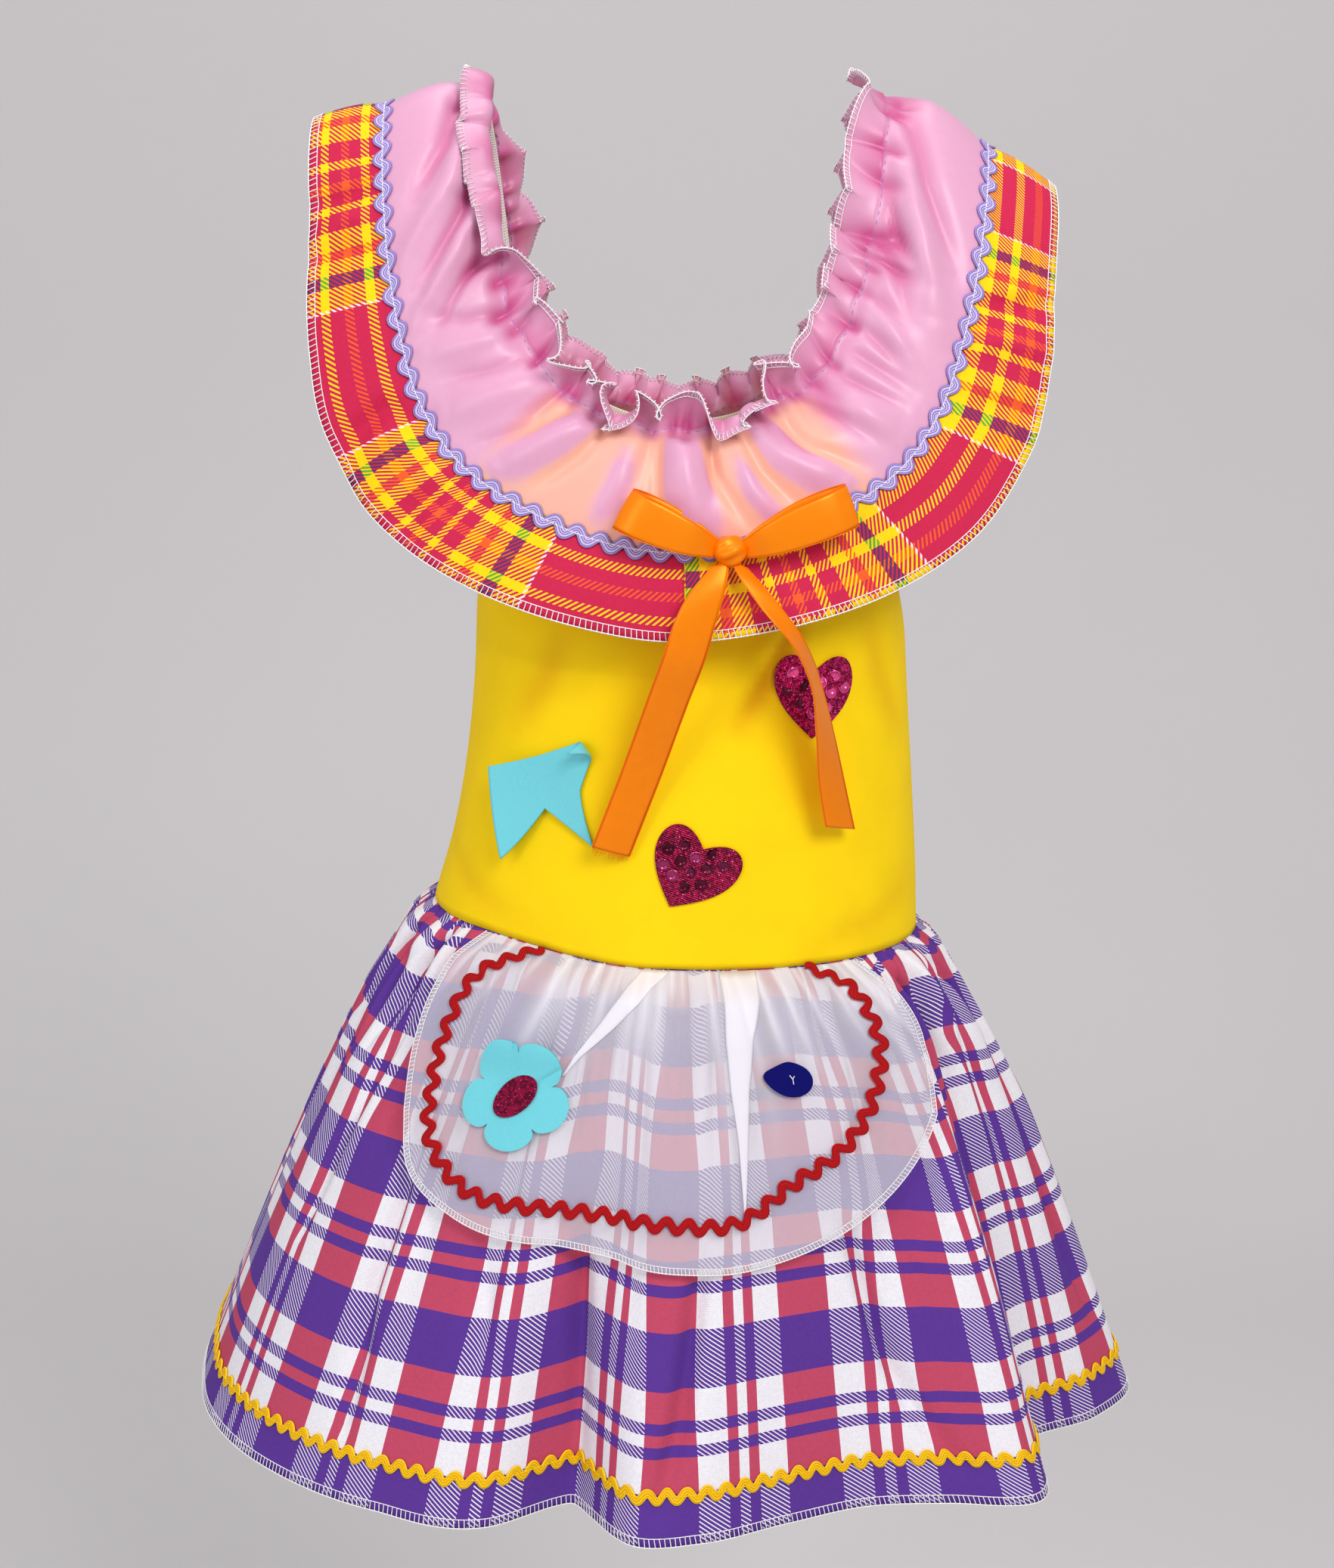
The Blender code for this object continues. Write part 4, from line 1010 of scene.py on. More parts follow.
def running_stitch(place, length, off, height, closed):
    """A thread that shows on the cloth for most of each stitch and dips through it between two."""
    count = int(length / RUNNING_STITCH)
    steps = len(RUNNING_DIPS) * count
    fine = length * np.arange(steps) / steps
    points, up = place(fine, np.full(len(fine), off))
    dip = height + np.tile(RUNNING_DIPS, count)
    return tube(points + up * dip[:, None], up, RUNNING_THREAD, closed=closed)


def add_overlock(name, place, length, stitch, slot, closed=False, finish="white thread"):
    """Thread over a cut edge: stitches round it between a line on the edge and a chain set in from it.

    place gives points and outward normals for a way along the edge and into the cloth from it.
    """
    count = int(length / stitch["pitch"])
    along = length * (np.arange(count) + 0.5) / count
    chance = np.random.default_rng(count)
    shake = chance.uniform(-STITCH_SHAKE, STITCH_SHAKE, (2, count))
    depth = stitch["depth"]
    top, up = place(along + shake[0], np.full(count, depth))
    edge, edge_up = place(along + stitch["slant"] + shake[1], np.full(count, 0.0))
    beyond, _ = place(along + stitch["slant"], np.full(count, INTO_THE_CLOTH))
    outward = unit(edge - beyond)
    lift = THREAD_RADIUS + STITCH_LIFT
    behind = THREAD_RADIUS + COTTON_THICK
    path = np.stack(
        [
            top + up * lift,
            edge + edge_up * lift + outward * STITCH_OVER_EDGE,
            edge + outward * STITCH_ROUND_EDGE,
            edge - edge_up * behind,
            top - up * behind,
        ],
        axis=1,
    ).reshape(-1, 3)
    run = np.repeat(unit(np.gradient(edge, axis=0)), 5, axis=0)
    parts = [tube(path, run, THREAD_RADIUS)]
    fine = length * np.arange(2 * count) / (2 * count)
    for inset, radius in ((depth, THREAD_RADIUS), (EDGE_CHAIN_INSET, EDGE_THREAD_RADIUS)):
        chain, chain_up = place(fine, np.full(2 * count, inset))
        parts.append(tube(chain + chain_up * lift, chain_up, radius, closed=closed))
    return add_mesh(name, *join_parts(parts), finish, slot)


def ring_place(grid, normals, lengths, line_lengths, start, sign):
    """The place call of a braid or an edge round a ring grid, off a length down its columns."""
    columns = np.arange(len(line_lengths))

    def place(along, off):
        column = np.interp(along % line_lengths[-1], line_lengths, columns)
        length = start(column) + sign * off
        return lie_on(grid, lengths, column, length), unit(lie_on(normals, lengths, column, length))

    return place


def row_place(grid, row, sign):
    """The place call of a trim on a row of a ring grid, and the row's length."""
    lengths = lengths_down(grid)
    around = ring_lengths(grid[row])
    return ring_place(grid, ring_normals(grid), lengths, around, ring_value(lengths[row]), sign), around[-1]


def ring_value(values):
    """Reads one value of each column between the columns of a ring."""
    count = len(values)

    def at(column):
        return np.interp(np.asarray(column) % count, np.arange(count + 1), np.append(values, values[0]))

    return at


# Nodes of the finishes.


def add_node(tree, kind, **settings):
    made = tree.nodes.new(kind)
    for setting, value in settings.items():
        setattr(made, setting, value)
    return made


def feed(tree, socket, value):
    if isinstance(value, bpy.types.NodeSocket):
        tree.links.new(value, socket)
    else:
        socket.default_value = value


def maths(tree, operation, *values):
    made = add_node(tree, "ShaderNodeMath", operation=operation)
    for socket, value in zip(made.inputs, values):
        feed(tree, socket, value)
    return made.outputs[0]


def mixed(tree, share, first, second, blend="MIX"):
    made = add_node(tree, "ShaderNodeMix", data_type="RGBA", blend_type=blend)
    for number, value in ((0, share), (6, first), (7, second)):
        feed(tree, made.inputs[number], value)
    return made.outputs[2]


def eased(tree, value, low, high, start=0.0, end=1.0):
    """The value brought from one range to another along a soft curve."""
    made = add_node(tree, "ShaderNodeMapRange", interpolation_type="SMOOTHSTEP")
    for number, part in enumerate((value, low, high, start, end)):
        feed(tree, made.inputs[number], part)
    return made.outputs[0]


def new_effect(name, takes, gives):
    """An empty shader group with named inputs and outputs."""
    group = bpy.data.node_groups.new(name, "ShaderNodeTree")
    for label, kind in takes:
        group.interface.new_socket(label, in_out="INPUT", socket_type=kind)
    for label, kind in gives:
        group.interface.new_socket(label, in_out="OUTPUT", socket_type=kind)
    entry = add_node(group, "NodeGroupInput")
    leave = add_node(group, "NodeGroupOutput")
    return group, entry.outputs, leave.inputs


NUMBER = "NodeSocketFloat"
LINE_SOFTNESS = 0.12
CLOTH_GLOSS = 0.2


def make_effects():
    """The effects that more than one finish uses."""
    effects = {}
    group, takes, gives = new_effect(
        "twill lines",
        [("Along", NUMBER), ("Down", NUMBER), ("Pitch", NUMBER), ("Slope", NUMBER), ("Share", NUMBER)],
        [("Lines", NUMBER)],
    )
    slanted = maths(group, "MULTIPLY_ADD", takes["Down"], takes["Slope"], takes["Along"])
    turn = maths(group, "FRACT", maths(group, "DIVIDE", slanted, takes["Pitch"]))
    rise = maths(group, "MULTIPLY", maths(group, "ABSOLUTE", maths(group, "SUBTRACT", turn, 0.5)), 2.0)
    low = maths(group, "SUBTRACT", 1 - LINE_SOFTNESS, takes["Share"])
    high = maths(group, "SUBTRACT", 1 + LINE_SOFTNESS, takes["Share"])
    feed(group, gives["Lines"], eased(group, rise, low, high))
    effects["twill lines"] = group

    group, takes, gives = new_effect(
        "crossed threads", [("Along", NUMBER), ("Down", NUMBER), ("Pitch", NUMBER)], [("Height", NUMBER)]
    )
    waves = []
    for direction in ("Along", "Down"):
        turns = maths(group, "DIVIDE", takes[direction], takes["Pitch"])
        waves.append(maths(group, "SINE", maths(group, "MULTIPLY", turns, 2 * math.pi)))
    crossed = maths(group, "MULTIPLY", waves[0], waves[1])
    feed(group, gives["Height"], maths(group, "MULTIPLY_ADD", crossed, 0.5, 0.5))
    effects["crossed threads"] = group

    group, takes, gives = new_effect(
        "uneven dye", [("Size", NUMBER), ("Strength", NUMBER)], [("Shade", NUMBER), ("Relief", NUMBER)]
    )
    place = add_node(group, "ShaderNodeTexCoord").outputs["Object"]
    noise = add_node(group, "ShaderNodeTexNoise")
    feed(group, noise.inputs["Vector"], place)
    feed(group, noise.inputs["Scale"], maths(group, "DIVIDE", 1.0, takes["Size"]))
    noise.inputs["Detail"].default_value = 3.0
    centred = maths(group, "SUBTRACT", noise.outputs["Fac"], 0.5)
    feed(group, gives["Shade"], maths(group, "MULTIPLY_ADD", centred, takes["Strength"], 1.0))
    feed(group, gives["Relief"], noise.outputs["Fac"])
    effects["uneven dye"] = group

    group, takes, gives = new_effect(
        "braid ridges", [("Along", NUMBER), ("Across", NUMBER), ("Pitch", NUMBER)], [("Height", NUMBER)]
    )
    turns = maths(group, "DIVIDE", takes["Across"], takes["Pitch"])
    ridge = maths(group, "COSINE", maths(group, "MULTIPLY", turns, 2 * math.pi))
    slanted = maths(group, "MULTIPLY_ADD", takes["Across"], 0.8, takes["Along"])
    knots = ribbed(group, slanted, 0.0011)
    feed(group, gives["Height"], maths(group, "MULTIPLY_ADD", knots, 0.3, ridge))
    effects["braid ridges"] = group
    return effects


def use_effect(tree, name, **values):
    made = add_node(tree, "ShaderNodeGroup", node_tree=EFFECTS[name])
    for label, value in values.items():
        feed(tree, made.inputs[label], value)
    return made.outputs


def new_finish(name, roughness, **extra):
    """A material with its shader's plain values set: its nodes and the shader's inputs."""
    material = bpy.data.materials.new(name.replace(" ", "_"))
    material.use_nodes = True
    tree = material.node_tree
    shader = tree.nodes["Principled BSDF"]
    shader.inputs["Roughness"].default_value = roughness
    shader.inputs["Specular IOR Level"].default_value = CLOTH_GLOSS
    for label, value in extra.items():
        shader.inputs[label.replace("_", " ")].default_value = value
    FINISHES[name] = material
    return tree, shader.inputs


def cloth_places(tree):
    """The ways along and down the flat cloth, in metres."""
    layer = add_node(tree, "ShaderNodeUVMap", uv_map="cloth")
    parts = add_node(tree, "ShaderNodeSeparateXYZ")
    feed(tree, parts.inputs[0], layer.outputs[0])
    return parts.outputs[0], parts.outputs[1]


def shade_of(tree, label):
    return add_node(tree, "ShaderNodeAttribute", attribute_name=label).outputs["Fac"]


def ribbed(tree, value, length):
    """A sine wave of that length in metres along a value."""
    return maths(tree, "SINE", maths(tree, "MULTIPLY", value, 2 * math.pi / length))


def striped(tree, place, bands, start=0.0):
    """Colours in turn along a place in metres, from widths in millimetres and colours."""
    total = sum(width for width, _ in bands)
    turns = maths(tree, "MULTIPLY_ADD", place, 1 / (total * MM), start / total)
    ramp = add_node(tree, "ShaderNodeValToRGB")
    stops = ramp.color_ramp
    stops.interpolation = "CONSTANT"
    stops.elements.remove(stops.elements[1])
    passed = 0.0
    for number, (width, tint) in enumerate(bands):
        stop = stops.elements[0] if number == 0 else stops.elements.new(passed / total)
        stop.color = colour(tint) if isinstance(tint, str) else (tint, tint, tint, 1.0)
        passed += width
    feed(tree, ramp.inputs[0], maths(tree, "FRACT", turns))
    return ramp.outputs[0]


def shaded(tree, tint, shade):
    """A colour made lighter or darker by a shade about one."""
    grey = add_node(tree, "ShaderNodeCombineColor")
    for socket in grey.inputs:
        feed(tree, socket, shade)
    return mixed(tree, 1.0, tint, grey.outputs[0], "MULTIPLY")


def dyed(tree, inputs, tint, size, strength):
    """Gives the finish a colour that is uneven over places of that size, and returns the unevenness."""
    dye = use_effect(tree, "uneven dye", Size=size, Strength=strength)
    feed(tree, inputs["Base Color"], shaded(tree, tint, dye["Shade"]))
    return dye["Relief"]


def bumped(tree, inputs, height, distance, strength=1.0, before=None):
    made = add_node(tree, "ShaderNodeBump")
    made.inputs["Distance"].default_value = distance * MM
    made.inputs["Strength"].default_value = strength
    feed(tree, made.inputs["Height"], height)
    if before is not None:
        feed(tree, made.inputs["Normal"], before)
    feed(tree, inputs["Normal"], made.outputs[0])
    return made.outputs[0]


def twill(tree, places, pitch, slope, share):
    """Slanted lines that take up a share of the cloth."""
    along, down = places
    settings = {"Along": along, "Down": down, "Pitch": pitch, "Slope": slope, "Share": share}
    return use_effect(tree, "twill lines", **settings)["Lines"]


def woven_relief(tree, inputs, places, pitch, distance, strength):
    """A bump of crossed threads."""
    along, down = places
    threads = use_effect(tree, "crossed threads", Along=along, Down=down, Pitch=pitch)["Height"]
    bumped(tree, inputs, threads, distance, strength)
    return threads


def make_knit():
    tree, inputs = new_finish("yellow knit", 0.8)
    # Painted shade: the knit is darkened towards the knit shade where "shade" is high, in its crease troughs.
    tint = mixed(tree, shade_of(tree, "shade"), colour("yellow knit"), colour("knit shade"))
    dyed(tree, inputs, tint, 0.03, 0.16)
    woven_relief(tree, inputs, cloth_places(tree), 0.0009, 0.05, 0.5)


def make_satin():
    tree, inputs = new_finish("pink satin", 0.38, Specular_IOR_Level=0.4)
    # Painted shade: the satin is darkened towards the satin shade where "fold" is high.
    tint = mixed(tree, shade_of(tree, "fold"), colour("satin"), colour("satin shade"))
    # Painted show-through: where "over_yellow" is high, the satin is painted the peach of the yellow knit
    # beneath it.
    tint = mixed(tree, shade_of(tree, "over_yellow"), tint, colour("satin painted show-through"))
    dyed(tree, inputs, tint, 0.004, 0.06)
    woven_relief(tree, inputs, cloth_places(tree), 0.0007, 0.02, 0.5)


def make_check():
    tree, inputs = new_finish("collar check", 0.75)
    along, down = cloth_places(tree)
    lengthwise = striped(tree, along, CHECK_ALONG)
    crosswise = striped(tree, down, CHECK_ACROSS, CHECK_ACROSS_START)
    over_yellow = striped(tree, along, [(width, float(tint != "raspberry")) for width, tint in CHECK_ALONG])
    share = maths(tree, "MULTIPLY_ADD", over_yellow, 0.14, 0.4)
    lines = twill(tree, (along, down), 0.0027, -0.8, share)
    crossing = striped(tree, down, CHECK_ACROSS_YELLOW, CHECK_ACROSS_START)
    purple = mixed(tree, crossing, colour("check purple"), colour("check green"))
    lengthwise = mixed(tree, striped(tree, along, CHECK_PURPLE), lengthwise, purple)
    woven = mixed(tree, lines, lengthwise, crosswise)
    dyed(tree, inputs, woven, 0.002, 0.22)
    woven_relief(tree, inputs, (along, down), 0.0010, 0.05, 0.6)


def make_plaid():
    tree, inputs = new_finish("skirt plaid", 0.85)
    along, down = cloth_places(tree)
    rose = striped(tree, along, SKIRT_ACROSS)
    purple = striped(tree, down, SKIRT_UP, SKIRT_UP_START)
    lines = twill(tree, (along, down), 0.0034, 1.33, 0.7)
    # Painted shade of the white's ribs: it darkens and lightens in turn in fine lines 1.3 mm apart down the
    # cloth.
    ribs = ribbed(tree, down, 0.0013)
    rib_shade = maths(tree, "MULTIPLY_ADD", ribs, 0.035, 0.965)
    white = shaded(tree, colour("skirt white"), rib_shade)
    plain = mixed(tree, rose, white, colour("skirt rose"))
    over_white = mixed(tree, lines, white, colour("skirt purple"))
    banded = mixed(tree, rose, over_white, colour("skirt purple"))
    woven = mixed(tree, purple, plain, banded)
    dyed(tree, inputs, woven, 0.0016, 0.26)
    woven_relief(tree, inputs, (along, down), 0.0011, 0.06, 0.6)


def make_organza():
    for name, cover, more in (("white organza", 0.2, 0.5), ("folded organza", 0.7, 0.2)):
        tree, inputs = new_finish(name, 0.5)
        inputs["Base Color"].default_value = colour("organza")
        threads = woven_relief(tree, inputs, cloth_places(tree), 0.0006, 0.02, 0.4)
        share = maths(tree, "MULTIPLY_ADD", threads, 0.08, cover)
        feed(tree, inputs["Alpha"], maths(tree, "MULTIPLY_ADD", shade_of(tree, "gathered"), more, share))


def make_braid(name, bands, roughness=0.55):
    tree, inputs = new_finish(name, roughness)
    along, across = cloth_places(tree)
    total = sum(width for width, _ in bands)
    tint = striped(tree, across, bands, total / 2)
    dyed(tree, inputs, tint, 0.003, 0.2)
    ridges = use_effect(tree, "braid ridges", Along=along, Across=across, Pitch=0.0014)
    bumped(tree, inputs, ridges["Height"], 0.12, 0.9)


def make_elastic():
    tree, inputs = new_finish("white elastic", 0.75)
    along, across = cloth_places(tree)
    ribs = ribbed(tree, along, 0.0016)
    cords = ribbed(tree, across, 0.0013)
    height = maths(tree, "MULTIPLY_ADD", cords, 0.7, ribs)
    # Painted shade: the elastic is coloured darker in the grooves between its ribs and cords.
    share = eased(tree, height, -1.2, 0.6)
    feed(tree, inputs["Base Color"], mixed(tree, share, colour("elastic shade"), colour("elastic")))
    bumped(tree, inputs, height, 0.12, 0.8)


def make_ribbon():
    tree, inputs = new_finish("orange ribbon", 0.36, Metallic=0.25)
    along, across = cloth_places(tree)
    edge = eased(tree, maths(tree, "ABSOLUTE", across), 0.0096, 0.0104)
    tint = mixed(tree, edge, colour("ribbon orange"), colour("ribbon edge"))
    dyed(tree, inputs, tint, 0.006, 0.08)
    ribs = ribbed(tree, along, 0.0006)
    bumped(tree, inputs, ribs, 0.015, 0.5)


def make_small_finishes():
    for name, tint, roughness, size, strength, relief, relief_strength in (
        ("white thread", "thread white", 0.6, 0.0015, 0.3, 0.05, 0.5),
        ("lilac thread", "lilac", 0.6, 0.0015, 0.3, 0.05, 0.5),
        ("yellow thread", "braid yellow", 0.6, 0.0015, 0.3, 0.05, 0.5),
        ("red thread", "braid red", 0.6, 0.0015, 0.3, 0.05, 0.5),
        ("aqua foam", "aqua", 0.9, 0.0012, 0.14, 0.12, 0.5),
        ("navy felt", "navy", 1.0, 0.0009, 0.6, 0.2, 0.7),
    ):
        tree, inputs = new_finish(name, roughness)
        bumped(tree, inputs, dyed(tree, inputs, colour(tint), size, strength), relief, relief_strength)

    # Lamé: painted light and shade of the crumpled foil, lighter where its crumples rise, over its slanted
    # stripes, with painted glints as pink specks.
    for name, light, crumple, glint in (
        ("bright lame", "bright magenta", 0.8, 0.59), ("dark lame", "magenta", 0.3, 0.64),
    ):
        tree, inputs = new_finish(name, 0.3, Metallic=0.6)
        parts = add_node(tree, "ShaderNodeSeparateXYZ")
        feed(tree, parts.inputs[0], add_node(tree, "ShaderNodeTexCoord").outputs["Object"])
        slanted = maths(tree, "MULTIPLY_ADD", parts.outputs[0], 0.35, parts.outputs[2])
        lines = ribbed(tree, slanted, 0.0012)
        dye = use_effect(tree, "uneven dye", Size=0.0022, Strength=0.5)
        glint_specks = use_effect(tree, "uneven dye", Size=0.0009, Strength=0.5)["Relief"]
        # Painted light and shade of the crumples, from the same noise that bumps them.
        crumple_light_and_shade = eased(tree, dye["Relief"], 0.42, 0.58, 0.0, 0.65)
        share = maths(tree, "MULTIPLY_ADD", eased(tree, lines, -0.6, 0.7), 0.35, crumple_light_and_shade)
        tint = mixed(tree, share, colour("dark magenta"), colour(light))
        # Painted glints: pink specks where a finer noise is high.
        tint = mixed(tree, eased(tree, glint_specks, glint, glint + 0.06), tint, colour("sequin glint pink"))
        feed(tree, inputs["Base Color"], tint)
        before = bumped(tree, inputs, dye["Relief"], 2.0 * crumple, 1.0)
        bumped(tree, inputs, lines, 0.12, 0.9, before)

    tree, inputs = new_finish("magenta sequin", 0.14, Metallic=0.5)
    # Painted glints: each disc is coloured from dark magenta to bright pink by its "bright" value.
    tint = mixed(tree, shade_of(tree, "bright"), colour("dark magenta"), colour("sequin glint pink"))
    bumped(tree, inputs, dyed(tree, inputs, tint, 0.004, 0.5), 0.5, 0.6)

    tree, inputs = new_finish("backdrop", 0.9)
    dyed(tree, inputs, colour("backdrop"), 0.8, 0.05)


def make_finishes():
    make_knit()
    make_satin()
    make_check()
    make_plaid()
    make_organza()
    make_braid("lilac braid", (
        (0.9, "lilac"), (0.3, "violet"), (0.9, "pale lilac"), (0.4, "lilac"), (0.3, "violet"),
        (0.6, "pale lilac"),
        (0.3, "violet"), (0.4, "lilac"), (0.9, "pale lilac"), (0.3, "violet"), (0.9, "lilac"),
    ))
    make_braid("yellow braid", (
        (0.9, "braid yellow"), (0.4, "braid amber"), (0.8, "braid yellow"), (0.6, "braid amber"),
        (0.8, "braid yellow"), (0.4, "braid amber"), (0.9, "braid yellow"),
    ))
    make_braid("red braid", (
        (0.8, "braid red"), (0.4, "braid dark red"), (0.7, "braid red"), (0.4, "braid dark red"),
        (0.7, "braid red"), (0.4, "braid dark red"), (0.8, "braid red"),
    ), roughness=0.75)
    make_elastic()
    make_ribbon()
    make_small_finishes()


# The dress's pieces.


def collar_lines(station):
    """The gather line, the trim line and the free edge of the collar, at stations from -180 to 180."""
    station = wrapped(station)
    side = np.where(station < 0, -1.0, 1.0)
    quarter = np.abs(station)
    behind = quarter > SHOULDER_ANGLE
    table = np.asarray(COLLAR)
    mirrored = table[-2::-1].copy()
    mirrored[:, 0] = 2 * SHOULDER_ANGLE - mirrored[:, 0]
    mirrored[:, 2::3] *= -BACK_DEPTH_SHARE
    other_side = table[1:2].copy()
    other_side[:, [0, 1, 4, 7]] *= -1
    whole = np.concatenate([other_side, table, mirrored])
    values = read(whole, quarter).reshape(*quarter.shape, 3, 3)
    drop = BACK_NECK_DROP * smooth_step((quarter - SHOULDER_ANGLE) / SHOULDER_ANGLE)
    tilt = np.where(side > 0, RIGHT_SHOULDER_TILT, LEFT_SHOULDER_TILT)
    near_shoulder = smooth_step(
        (np.where(behind, 2 * SHOULDER_ANGLE - quarter, quarter) - SHOULDER_TILT_START)
        / (SHOULDER_ANGLE - SHOULDER_TILT_START)
    )
    lines = []
    for line in range(3):
        across, forward, height = np.moveaxis(values[..., line, :], -1, 0)
        raised = (across - SHOULDER_PIVOT) * tilt * near_shoulder
        lines.append(np.stack([COLLAR_CENTRE + side * across, -forward, height - drop + raised], -1))
    return lines


def collar_stations(count):
    """Stations evenly spaced along the trim line, starting at the back centre."""
    fine = np.linspace(-180.0, 180.0, FINE_STEPS)
    share = even_places(collar_lines(fine)[1], count)
    return -180.0 + 360.0 * share


def collar_frame(gather, trim):
    """Unit vectors down the collar and out of it, for lines that close into a ring."""
    down = unit(trim - gather)
    along = np.roll(gather, -1, axis=0) - np.roll(gather, 1, axis=0)
    return down, unit(np.cross(down, along))


def frill_lean(stations, share, chance):
    """How each place of the frill waves, and how far its edge leans out of its upright, in degrees."""
    wobble = ring_blur(chance.normal(0, 1, COLLAR_COLUMNS), FRILL_WOBBLE_COLUMNS)
    turn = 2 * math.pi * FRILL_WAVES * share + FRILL_WOBBLE * wobble / wobble.std()
    swings = chance.uniform(*FRILL_SWINGS, FRILL_WAVES)
    swing = np.interp(share * FRILL_WAVES, np.arange(FRILL_WAVES + 1), np.append(swings, swings[0]))
    unwrapped = np.where(stations < -SHOULDER_ANGLE, stations + 360.0, stations)
    lean = read(LEAN, unwrapped)[..., 0]
    leaning = smooth_step((lean - FRILL_CALM["from"]) / FRILL_CALM["over"])
    swing = swing * (1 - FRILL_CALM["share"] * leaning)
    for middle, half, more in FRILL_LOBES:
        near = np.exp(-((wrapped(stations - middle) / half) ** 2))
        lean = lean + more * near
        swing = swing * (1 - FRILL_LOBE_CALM * near)
    return turn, np.clip(lean + swing * np.sin(turn), *FRILL_LEAN_LIMITS)


